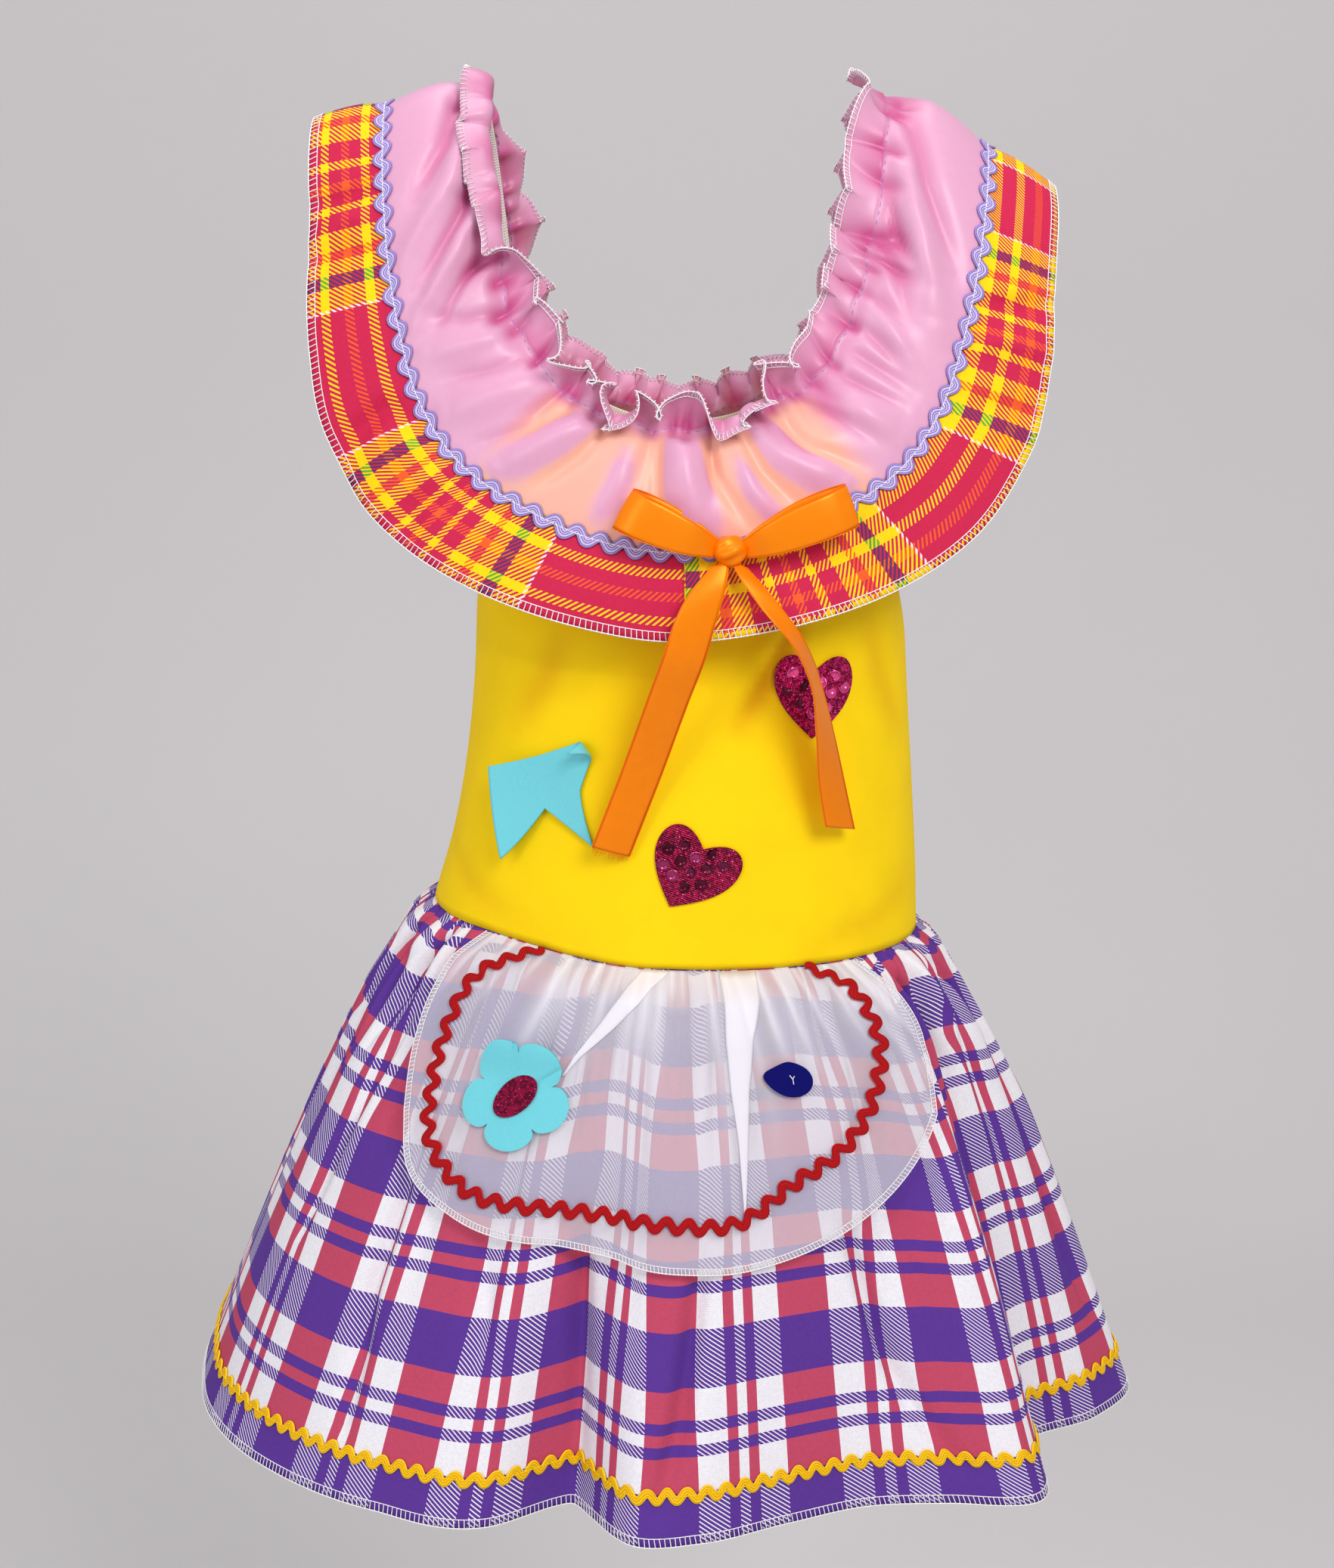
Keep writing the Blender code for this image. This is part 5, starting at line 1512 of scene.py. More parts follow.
def make_collar():
    stations = collar_stations(COLLAR_COLUMNS)
    gather, trim, edge = collar_lines(stations)
    down, out = collar_frame(gather, trim)
    run = unit(np.roll(gather, -1, axis=0) - np.roll(gather, 1, axis=0))
    share = np.arange(COLLAR_COLUMNS) / COLLAR_COLUMNS
    depths = np.linspace(0.0, 1.0, SATIN_ROWS)
    valley = valleys(share, depths, **SATIN_GATHERS)
    creases = creased(stations[None], depths[:, None], SATIN_MM_PER_STATION, SATIN_MM_DEEP, SATIN_CREASES)
    ends = smooth_step(depths / 0.12) * smooth_step((1 - depths) / 0.15)
    chance = np.random.default_rng(COLLAR_SEED)
    waver = ring_blur(chance.normal(0, 1, COLLAR_COLUMNS), GATHER_WAVER_COLUMNS)
    waver *= GATHER_WAVER / waver.std()
    body = []
    for row, depth in enumerate(depths):
        amplitude = float(read(PUCKERS, depth)[0])
        stand = 4 * SATIN_PUFF * depth * (1 - depth) + 2 * amplitude * (1 - valley[row])
        stand = stand + creases[row] * ends[row]
        drawn = waver * (1 - smooth_step(depth / GATHER_WAVER_DOWN_TO))
        body.append(gather + (trim - gather) * depth + out * stand[:, None] + down * drawn[:, None])

    # The frill above the gathers turns out of its upright, and falls over the satin in places.
    turn, edge_lean = frill_lean(stations, share, chance)
    curl = 2 + 2 * np.clip((edge_lean - FRILL_CURL_FROM) / FRILL_CURL_OVER, 0, 1)
    frill = []
    offset = np.zeros(gather.shape)
    for row in range(1, FRILL_ROWS + 1):
        rise = row / FRILL_ROWS
        middle = (row - 0.5) / FRILL_ROWS
        tilt = np.radians(edge_lean * (1 - (1 - middle) ** curl))[:, None]
        offset = offset + (out * np.sin(tilt) - down * np.cos(tilt)) * FRILL_HEIGHT / FRILL_ROWS
        loop = (FRILL_LOOP * rise**1.5 * np.sin(2 * turn))[:, None]
        pucker = (FRILL_BASE_PUCKER * (1 - rise) * (1 - valley[0]))[:, None]
        frill.append(body[0] + offset + out * pucker + run * loop)
    satin = np.stack(frill[::-1] + body)
    frill_count = len(frill)

    # Painted shade, kept as "fold": darker in the valleys between the gathers and in the crease troughs, less
    # further down; on the frill, darker on one side of each wave and in the valleys near the gather line.
    fold = np.zeros(satin.shape[:2])
    fold[frill_count:] = np.clip(valley * 1.3 - 0.12 - 0.15 * creases, 0, 1) * (1 - 0.45 * depths[:, None])
    near_line = np.linspace(0.0, 1.0, frill_count)[:, None]
    frill_wave_shade = np.clip(0.3 - 0.45 * np.sin(turn), 0, 0.6) * (0.4 + 0.6 * near_line)
    fold[:frill_count] = np.clip(frill_wave_shade + 0.8 * valley[0] * near_line**2, 0, 1)
    # Painted show-through, kept as "over_yellow": near the front centre, where the satin hangs over the
    # yellow knit, it is painted peach; not on the frill, fading near the gathers, and less on crease ridges
    # that stand off.
    reach = np.abs(satin[..., 0] - COLLAR_CENTRE)
    depth_here = np.concatenate([np.zeros(frill_count), depths])[:, None]
    boundary = OVER_BODICE_AT_GATHERS + (OVER_BODICE_AT_TRIM - OVER_BODICE_AT_GATHERS) * depth_here
    over = smooth_step((boundary - reach) / OVER_BODICE_EDGE + 0.5)
    over = over * smooth_step(depth_here / OVER_BODICE_FROM_DEPTH)
    over[:frill_count] = 0.0
    over[frill_count:] *= 1 - smooth_step((creases * ends[:, None] + 0.2) / 1.5)

    lengths = lengths_down(satin)
    around = ring_lengths(satin[-1])
    down_cloth = np.concatenate([lengths, lengths[:, :1]], axis=1)
    piece = add_cloth(
        "gathered_satin", satin, SATIN_THICK, "pink satin", "pink_satin", around, down_cloth,
        shades={"fold": fold, "over_yellow": over}, closed=True,
        nodes=("collar_satin_front", "collar_satin_back"),
    )

    band_top = body[-1]
    band_down, band_out = collar_frame(band_top, edge)
    flare_phase = 2 * math.pi * BAND_FLARE_COUNT * share
    ripple = ring_blur(chance.normal(0, 1, (3, COLLAR_COLUMNS)), BAND_RIPPLE_COLUMNS)
    ripple /= ripple.std(axis=1, keepdims=True)
    band = []
    for depth in np.linspace(0.0, 1.0, BAND_ROWS):
        stand = 4 * BAND_PUFF * depth * (1 - depth) + BAND_FLARE * depth * np.cos(flare_phase)
        stand = stand + BAND_RIPPLE * smooth_step(depth * 3) * (ripple[0] * (1 - depth) + ripple[1] * depth)
        laid = creased(stations, np.float64(depth), SATIN_MM_PER_STATION, BORDER_DEPTH, BAND_CREASES)
        stand = stand + smooth_step(depth * 3) * laid
        band.append(band_top + (edge - band_top) * depth + band_out * stand[:, None])
    band[0] = band[0] + band_down * SEAM_GAP
    band = np.stack(band)
    quarter = COLLAR_COLUMNS // 4
    seam = int(np.argmin(np.abs(stations - BORDER_SEAM_STATION)))
    panels = (
        ("check_border_left", quarter, seam, BORDER_LEFT, ("collar_band_front",)),
        ("check_border_right", seam, 3 * quarter, BORDER_RIGHT, ("collar_band_front",)),
        ("check_border_back", 3 * quarter, 5 * quarter, BORDER_BACK, ("collar_band_back",)),
    )
    up_cloth = BORDER_DEPTH * (1 - np.linspace(0.0, 1.0, BAND_ROWS))[:, None]
    round_twice = np.concatenate([stations, stations + 360.0])
    for name, first, last, (shift, table), nodes in panels:
        part = drawn_in(ring_part(band, first, last))
        laid = read(table, round_twice[first:last + 1])[..., 0]
        add_cloth(
                name, part, COTTON_THICK, "collar check", "collar_check", laid, up_cloth + shift, nodes=nodes
            )

    whole = np.concatenate([satin[:-1], band])
    place, length = row_place(whole, len(satin) - 1, 1.0)
    braids = add_ricrac(
        "collar_ricrac", place, length, COLLAR_WAVES, COLLAR_RICRAC, "lilac braid", "lilac_braid",
        ("ricrac_collar_front", "ricrac_collar_back"), True, "white thread",
    )

    add_overlock("border_overlock", *row_place(band, -1, -1.0), BORDER_STITCH, "white_elastic", closed=True)
    frill_thread = add_overlock(
        "frill_overlock", *row_place(satin, 0, 1.0), FRILL_STITCH, "white_elastic", closed=True
    )

    # The gathering thread shows as short stitches on the gather line.
    place, length = row_place(satin, frill_count, 1.0)
    fine = np.arange(0.0, length, GATHER_THREAD["step"])
    points, up = place(fine, np.full(len(fine), 0.0))
    stitch_turn = 2 * math.pi * fine / GATHER_THREAD["stitch"]
    dip = GATHER_THREAD["swing"] * np.sin(stitch_turn) - GATHER_THREAD["sunk"]
    stitches = tube(points + up * dip[:, None], up, GATHER_THREAD["radius"], closed=True)
    thread = add_mesh("gathering_thread", *stitches, "lilac thread", "lilac_braid")


def make_neck_elastic():
    gather, trim, _ = collar_lines(collar_stations(ELASTIC_COLUMNS))
    down, out = collar_frame(gather, trim)
    upper = gather + down * ELASTIC_TOP - out * BEHIND_SATIN
    rows = np.linspace(0.0, ELASTIC_WIDTH, ELASTIC_ROWS)
    grid = np.stack([upper + down * fall for fall in rows])
    add_cloth(
        "neck_elastic", grid, ELASTIC_THICK, "white elastic", "white_elastic",
        ring_lengths(upper), rows[:, None], closed=True, nodes=("neck_elastic_front", "neck_elastic_back"),
    )


def bodice_top(angles):
    """The bodice's upper edge: under the gather line as far as the straps' roots, then down the armholes."""
    forward_angles = 90.0 - np.abs(90.0 - np.abs(angles))
    side = np.where(angles < 0, -1.0, 1.0)
    facing = np.where(np.abs(angles) > 90.0, -BACK_DEPTH_SHARE, 1.0)
    quarter = forward_angles * NECK_STATION_SHARE
    stations = side * np.where(facing > 0, quarter, 180.0 - quarter)
    gather, trim, _ = collar_lines(stations)
    down = unit(trim - gather)
    along = collar_lines(stations + 0.5)[0] - collar_lines(stations - 0.5)[0]
    neck = gather + down * KNIT_BELOW_GATHERS - unit(np.cross(down, along)) * BEHIND_SATIN
    across, forward, height = np.moveaxis(read(ARMHOLE, np.maximum(forward_angles, ARMHOLE[0][0])), -1, 0)
    armhole = np.stack([side * across, -facing * forward, height], -1)
    blend = smooth_step((forward_angles - STRAP_ROOT_FROM) / (STRAP_ROOT_TO - STRAP_ROOT_FROM))[:, None]
    return neck * (1 - blend) + armhole * blend


def make_bodice():
    angles = -180.0 + 360.0 * np.arange(BODICE_COLUMNS) / BODICE_COLUMNS
    top = bodice_top(angles)
    pulled = (top - body_point(angles, top[:, 2]))[:, :2]
    rows = []
    heights = []
    for share in np.linspace(0.0, 1.0, BODICE_ROWS):
        height = top[:, 2] + (WAIST_HEIGHT - top[:, 2]) * share
        points = body_point(angles, height)
        points[:, :2] += pulled * smooth_step((height - YOKE_START) / (top[:, 2] - YOKE_START))[:, None]
        rows.append(points)
        heights.append(height)
    grid = np.stack(rows)
    heights = np.stack(heights)
    creases = creased(angles[None], heights, BODICE_MM_PER_DEGREE, 1.0, BODICE_CREASES)
    grid = grid + ring_normals(grid) * creases[..., None]
    # Painted shade: darker in the troughs of the knit's creases.
    shade = np.clip(-creases * 0.5, 0.0, 1.0) * 0.7
    lengths = lengths_down(grid)
    piece = add_cloth(
        "knit_bodice", grid, KNIT_THICK, "yellow knit", "yellow_knit",
        ring_lengths(grid[-1]), np.concatenate([lengths, lengths[:, :1]], axis=1),
        shades={"shade": shade}, closed=True, nodes=("bodice_front", "bodice_back"),
    )


def cloth_along(grid, valley):
    """Millimetres of cloth along each row: as much as the hem has, tucked into the valleys higher up."""
    steps = np.linalg.norm(np.roll(grid, -1, axis=1) - grid, axis=2)
    hem = steps[-1]
    missing = ring_blur(np.maximum(hem[None] - steps, 0.0), TUCK_COLUMNS)
    weight = valley**3 + TUCK_LEAST
    tucked = missing * weight / ring_blur(weight, TUCK_COLUMNS)
    taken = steps + tucked
    taken *= hem.sum() / taken.sum(axis=1, keepdims=True)
    start = np.zeros((len(grid), 1))
    along = np.concatenate([start, np.cumsum(taken, axis=1)[:, :-1]], axis=1)
    hem_along = np.concatenate([[0.0], np.cumsum(hem)[:-1]])
    away = along - hem_along
    away = away - ring_blur(away, TUCK_DRIFT_COLUMNS)
    return hem_along + away, hem.sum()


def make_skirt():
    fine = np.linspace(-180.0, 180.0, FINE_STEPS)
    hem = skirt_point(fine, np.full(fine.shape, HEM_HEIGHT), fold_reach(fine, HEM_HEIGHT))
    angles = -180.0 + 360.0 * even_places(hem, SKIRT_COLUMNS)
    share = np.arange(SKIRT_COLUMNS) / SKIRT_COLUMNS
    heights = SKIRT_TOP - (SKIRT_TOP - HEM_HEIGHT) * np.linspace(0.0, 1.0, SKIRT_ROWS) ** SKIRT_ROW_SPREAD
    drop = skirt_drop(heights)
    valley = valleys(share, drop, **SKIRT_GATHERS)
    place, level = np.broadcast_arrays(angles[None], heights[:, None])
    creases = creased(place, level, SKIRT_MM_PER_DEGREE, 1.0, SKIRT_CREASES)
    pleats = gather_depth(level) - read(PLEAT_DEPTHS, level)[..., 0] * valley
    grid = skirt_point(place, level, fold_reach(place, level) + pleats + creases)
    along, whole = cloth_along(grid, np.clip(valley - creases * 0.06, 0.0, 1.0))
    along = np.concatenate([along, along + whole, along[:, :1] + 2 * whole], axis=1)
    lengths = lengths_down(grid)
    quarter = SKIRT_COLUMNS // 4
    for half, first, last in (("front", quarter, 3 * quarter), ("back", 3 * quarter, 5 * quarter)):
        part = drawn_in(ring_part(grid, first, last))
        fall = ring_part(lengths, first, last)
        add_cloth(
                f"plaid_{half}", part, COTTON_THICK, "skirt plaid", "plaid_cotton",
                along[:, first:last + 1], fall[-1:] - fall, nodes=(f"skirt_{half}",),
            )
    trim_lengths = lengths[-1] - HEM_TRIM_RISE
    trim_round = ring_lengths(lie_on(grid, lengths, np.arange(SKIRT_COLUMNS), trim_lengths))
    place = ring_place(grid, ring_normals(grid), lengths, trim_round, ring_value(trim_lengths), 1.0)
    braids = add_ricrac(
        "hem_ricrac", place, trim_round[-1], HEM_WAVES, HEM_RICRAC, "yellow braid", "yellow_braid",
        ("ricrac_hem_front", "ricrac_hem_back"), True, "yellow thread",
    )
    thread = add_overlock(
        "hem_overlock", *row_place(grid, -1, -1.0), HEM_STITCH, "white_elastic", closed=True
    )


def apron_valleys(angle, height):
    """Gathers that run down from the apron's seam and die out, uneven in place, depth and length."""
    chance = np.random.default_rng(APRON_SEED)
    left_over = np.ones(angle.shape)
    drop = np.clip((APRON_TOP_HEIGHT - height) / APRON_FOLDS_END_BELOW, 0.0, 1.0)
    fan = angle / (1 + APRON_FAN * smooth_step(drop * 2))
    gaps = uneven_places(APRON_FOLD_COUNT, chance, 0.7)
    for centre in APRON_TOP_LEFT + (APRON_TOP_RIGHT - APRON_TOP_LEFT) * gaps:
        reach = chance.choice(APRON_FOLD_REACHES)
        strength = chance.uniform(0.5, 1.0)
        wide = chance.uniform(0.5, 1.0) * (1 + 2.0 * drop)
        fade = 1 - smooth_step((drop - 0.2 * reach) / (0.8 * reach))
        left_over = left_over * (1 - strength * fade / (1 + ((fan - centre) / wide) ** 2))
    return 1 - left_over


def apron_point(angle, height, out=0.0):
    """A point on the apron's outer face, which bridges the skirt's valleys."""
    angle, height = np.broadcast_arrays(np.asarray(angle, float), np.asarray(height, float))
    folds = fold_reach(angle, height)
    bridge = APRON_BRIDGE * skirt_drop(height)
    over_folds = 0.5 * (folds + np.sqrt(folds**2 + bridge**2))
    below_seam = smooth_step((APRON_TOP_HEIGHT - height + APRON_RISE_START) / APRON_RISE_OVER)
    fade = 1 - (1 - APRON_GATHER_KEPT) * smooth_step((APRON_TOP_HEIGHT - height) / APRON_GATHER_FADES_OVER)
    own = 2 * APRON_GATHER * fade * (1 - apron_valleys(angle, height))
    own = own + creased(angle, height, APRON_MM_PER_DEGREE, 1.0, APRON_CREASES)
    clearance = APRON_SEAM_CLEARANCE + APRON_CLEARANCE * below_seam
    reach = over_folds + gather_depth(height) + clearance + own * below_seam + SOLID_ORGANZA
    return skirt_point(angle, height, reach + out)


def apron_places(across_count, rows):
    """Angles and heights of the apron's grid, blended between its four sides."""
    across = np.linspace(0.0, 1.0, across_count)[None, :, None]
    down = np.asarray(rows)[:, None, None]
    top_angles = APRON_TOP_LEFT + (APRON_TOP_RIGHT - APRON_TOP_LEFT) * across[0, :, 0]
    top = np.stack([top_angles, np.full(top_angles.shape, APRON_TOP_HEIGHT)], -1)[None]
    bottom = read(APRON_BOTTOM, across[0, :, 0])[None]
    left = read(APRON_LEFT, down[:, 0, 0])[:, None]
    right = read(APRON_RIGHT, down[:, 0, 0])[:, None]
    corners = (
        (1 - across) * (1 - down) * top[:, :1]
        + across * (1 - down) * top[:, -1:]
        + (1 - across) * down * bottom[:, :1]
        + across * down * bottom[:, -1:]
    )
    return (1 - down) * top + down * bottom + (1 - across) * left + across * right - corners


def surface_normals(surface, angle, height):
    step = 0.5
    across = surface(angle + step, height) - surface(angle - step, height)
    up = surface(angle, height + step) - surface(angle, height - step)
    return unit(np.cross(across, up))


def line_place(surface, route):
    """The place call of a trim along a route of angles and heights, off to its left, and its length."""
    angles, heights = route[:, 0], route[:, 1]
    line = surface(angles, heights)
    travelled = lengths_along(line)
    per_degree = np.linalg.norm(surface(angles + 1.0, heights) - line, axis=-1)
    per_height = np.linalg.norm(surface(angles, heights + 1.0) - line, axis=-1)
    run = np.stack([np.gradient(angles) * per_degree, np.gradient(heights) * per_height], -1)
    left = unit(np.stack([-run[:, 1], run[:, 0]], -1))

    def place(along, off):
        def between(values):
            return np.interp(along, travelled, values)

        angle = between(angles) + off * between(left[:, 0] / per_degree)
        height = between(heights) + off * between(left[:, 1] / per_height)
        return surface(angle, height), surface_normals(surface, angle, height)

    return place, travelled[-1]


def apron_gathered(angle, height):
    """How close the organza lies in its gathers, which makes it whiter near its seam."""
    folded = apron_valleys(angle, height) ** 1.4
    return np.exp((height - APRON_TOP_HEIGHT) / APRON_GATHERED_OVER) * (0.06 + 1.1 * folded) + 0.2 * folded


def add_blades():
    """The apron's two narrow folds, where its organza lies on itself."""
    made = []
    for label, edges in zip(("left", "right"), APRON_BLADES):
        left, right = (np.asarray(edge)[::-1] for edge in edges)
        height = np.linspace(APRON_TOP_HEIGHT, min(left[0, 1], right[0, 1]), BLADE_ROWS)[:, None]
        low = np.interp(height, left[:, 1], left[:, 0])
        high = np.maximum(np.interp(height, right[:, 1], right[:, 0]), low + BLADE_LEAST_WIDTH)
        across = np.linspace(0.0, 1.0, BLADE_COLUMNS)[None]
        angle = low + (high - low) * across
        height = np.broadcast_to(height, angle.shape)
        rise = smooth_step((APRON_TOP_HEIGHT - height) / BLADE_RISES_OVER)
        puff = BLADE_PUFF * np.sin(math.pi * across) ** 0.5 * rise
        grid = apron_point(angle, height, BLADE_LIFT + puff)
        made.append(
            add_cloth(
                f"apron_fold_{label}", grid, ORGANZA_THICK, "folded organza", "white_organza",
                lengths_across(grid), lengths_down(grid),
                shades={"gathered": apron_gathered(angle, height)},
            )
        )
    return made


def make_apron():
    places = apron_places(APRON_COLUMNS, np.linspace(0.0, 1.0, APRON_ROWS) ** APRON_ROW_SPREAD)
    angle, height = places[..., 0], places[..., 1]
    grid = apron_point(angle, height)
    piece = add_cloth(
        "organza_apron", grid, ORGANZA_THICK, "white organza", "white_organza",
        lengths_across(grid), lengths_down(grid),
        shades={"gathered": apron_gathered(angle, height)}, nodes=("apron",),
    )
    place, length = line_place(apron_point, read(APRON_TRIM, np.linspace(0.0, 1.0, APRON_TRIM_STEPS)))
    braids = add_ricrac(
        "apron_ricrac", place, length, APRON_WAVES, APRON_RICRAC, "red braid", "red_braid",
        ("ricrac_apron",), False, "red thread",
    )
    border = np.concatenate([places[:-1, 0], places[-1, :-1], places[::-1, -1]])
    place, length = line_place(apron_point, border)
    thread = add_overlock("apron_overlock", place, length, APRON_STITCH, "white_organza")
    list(add_blades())


def on_surface(surface, angle, height, flat, out):
    """Flat shape points, in millimetres right and up of a place on a surface, laid on it and moved out."""
    here = surface(np.array(angle), np.array(height))
    per_degree = np.linalg.norm(surface(np.array(angle + 1.0), np.array(height)) - here)
    per_height = np.linalg.norm(surface(np.array(angle), np.array(height + 1.0)) - here)
    angles = angle + flat[:, 0] / per_degree
    heights = height + flat[:, 1] / per_height
    points = surface(angles, heights)
    return points + surface_normals(surface, angles, heights) * np.asarray(out)[..., None]


def turned(outline, degrees):
    turn = math.radians(degrees)
    cosine, sine = math.cos(turn), math.sin(turn)
    return outline @ np.array([[cosine, sine], [-sine, cosine]])


def add_patch(name, surface, shape, outline, thickness, finish, slot, node, relief=None):
    """A flat cut shape laid on a surface in rings inside its outline, then given its thickness."""
    outline = turned(outline, shape["turn"])
    count = len(outline)
    flat = np.concatenate([outline * share for share in PATCH_RINGS] + [np.zeros((1, 2))])
    out = np.full(len(flat), shape["lift"] + thickness)
    if relief is not None:
        out = out + relief(flat)
    points = on_surface(surface, shape["angle"], shape["height"], flat, out)
    faces = []
    for ring in range(len(PATCH_RINGS) - 1):
        here = ring * count
        for corner in range(count):
            after = (corner + 1) % count
            faces.append([here + corner, here + after, here + count + after, here + count + corner])
    last = (len(PATCH_RINGS) - 1) * count
    centre = len(PATCH_RINGS) * count
    for corner in range(count):
        faces.append([last + corner, last + (corner + 1) % count, centre])
    piece = add_mesh(name, points, faces, finish, slot, (node,))
    add_thickness(piece, thickness)
    edge = piece.modifiers.new("soft edge", "BEVEL")
    edge.width = min(0.4, thickness * 0.3) * MM
    edge.segments = 2
    edge.limit_method = "ANGLE"
    return piece


def heart_outline(shape, count=96):
    turn = np.linspace(0.0, 2 * math.pi, count, endpoint=False)
    across = -np.sign(np.sin(turn)) * np.abs(np.sin(turn)) ** HEART_FULLNESS
    up = sum(size * np.cos(times * turn) for times, size in enumerate(HEART_CURVE, 1))
    up -= (up.max() + up.min()) / 2
    return np.stack([across / np.ptp(across) * shape["width"], up / np.ptp(up) * shape["length"]], -1)


def flower_outline(shape, count=150):
    turn = np.linspace(0.0, 2 * math.pi, count, endpoint=False)
    petal = np.abs(np.cos(turn * FLOWER_PETALS / 2)) ** 0.5
    reach = shape["notch"] + (shape["radius"] - shape["notch"]) * petal
    return np.stack([reach * np.cos(turn), reach * np.sin(turn)], -1)


def oval_outline(shape, point=0.0, count=64):
    turn = np.linspace(0.0, 2 * math.pi, count, endpoint=False)
    across = shape["width"] / 2 * np.cos(turn)
    across -= point * np.maximum(0.0, -np.cos(turn)) ** 6
    return np.stack([across, shape["length"] / 2 * np.sin(turn)], -1)


def flower_top(angle, height):
    return apron_point(angle, height, FLOWER["lift"] + SOLID_FELT)


def petal_crease(flat):
    """The upper right petal's crease, and the two upper petals that bend forwards at their ends."""
    across, up = flat[:, 0], flat[:, 1]
    right_of, above = PETAL_CREASE["place"]
    line = (up - above) - PETAL_CREASE["slope"] * (across - right_of)
    crease = -PETAL_CREASE["depth"] * np.exp(-((line / PETAL_CREASE["half_width"]) ** 2))
    crease = crease * smooth_step((across - PETAL_CREASE["from"]) / PETAL_CREASE["over"])
    return crease + PETAL_BEND["reach"] * smooth_step((up - PETAL_BEND["from"]) / PETAL_BEND["over"])


def model_sequin():
    """One cupped disc, as vertices in millimetres and faces, from a primitive shaped by hand."""
    bpy.ops.object.select_all(action="DESELECT")
    bpy.ops.mesh.primitive_cylinder_add(vertices=18, radius=SEQUIN_RADIUS * MM, depth=SEQUIN_THICK * MM)
    disc = bpy.context.object
    bpy.ops.object.mode_set(mode="EDIT")
    bpy.ops.mesh.select_all(action="DESELECT")
    bpy.ops.object.mode_set(mode="OBJECT")
    for face in disc.data.polygons:
        face.select = face.normal.z > 0.9
    bpy.ops.object.mode_set(mode="EDIT")
    bpy.ops.mesh.inset(thickness=SEQUIN_RIM * MM)
    bpy.ops.transform.translate(value=(0.0, 0.0, -SEQUIN_CUP * MM))
    bpy.ops.object.mode_set(mode="OBJECT")
    points = np.array([vertex.co[:] for vertex in disc.data.vertices]) / MM
    faces = []
    for face in disc.data.polygons:
        corners = list(face.vertices)
        faces.extend([corners[0], corners[step], corners[step + 1]] for step in range(1, len(corners) - 1))
    bpy.data.objects.remove(disc, do_unlink=True)
    return points, np.array(faces)


def inside(outline, point):
    """Whether a flat point lies inside an outline."""
    x, y = point
    start, end = outline, np.roll(outline, -1, axis=0)
    spans = (start[:, 1] > y) != (end[:, 1] > y)
    rise = np.where(spans, end[:, 1] - start[:, 1], 1.0)
    cross = start[:, 0] + (y - start[:, 1]) * (end[:, 0] - start[:, 0]) / rise
    return bool(np.count_nonzero(spans & (x < cross)) % 2)


def add_sequins(name, shape, disc, kept, tilt, glint_share_left, glint_share_right, shine, seed):
    """Sequins in staggered rows on a heart, each tipped its own way, with painted glints on more of them to
    one side.
    """
    chance = np.random.default_rng(seed)
    outline = turned(heart_outline(shape), shape["turn"])
    parts = []
    bright = []
    for row in range(-4, 5):
        for column in range(-5, 6):
            rightward = (column + 0.5 * (row % 2)) * SEQUIN_PITCH
            flat = np.array([[rightward, row * SEQUIN_PITCH * SEQUIN_ROW_SHARE]])
            flat = turned(flat, SEQUIN_ROWS_TURN)[0]
            if not inside(outline * SEQUINS_WITHIN, flat) or chance.uniform() > kept:
                continue
            flat = flat + chance.uniform(-SEQUIN_SHIFT, SEQUIN_SHIFT, 2)
            lift = shape["lift"] + SEQUIN_CLOTH_THICK + SEQUIN_LIFT + SEQUIN_LIFT_MORE * chance.uniform()
            around = np.array([[0.0, 0.0], [1.0, 0.0], [0.0, 1.0]]) + flat
            laid = on_surface(body_point, shape["angle"], shape["height"], around, np.full(3, lift))
            centre, right, up = laid
            right, up = unit(right - centre), unit(up - centre)
            facing = unit(np.cross(right, up)) + right * chance.normal(0, tilt) + up * chance.normal(0, tilt)
            facing = unit(facing)
            right = unit(np.cross(up, facing))
            up = np.cross(facing, right)
            points = disc[0] @ np.stack([right, up, facing]) + centre
            parts.append((points, disc[1]))
            # Painted glints: a share of the discs, growing towards one side, is coloured bright pink; the
            # rest stay dark.
            side = 0.5 + flat[0] / shape["width"]
            is_glinting = chance.uniform() < glint_share_left + (glint_share_right - glint_share_left) * side
            level = chance.uniform(0.6, 1.0) * shine if is_glinting else chance.uniform(0.0, 0.1)
            bright.extend([level] * len(points))
    piece = add_mesh(name, *join_parts(parts), "magenta sequin", "magenta_sequin")
    mark(piece, {"bright": bright})


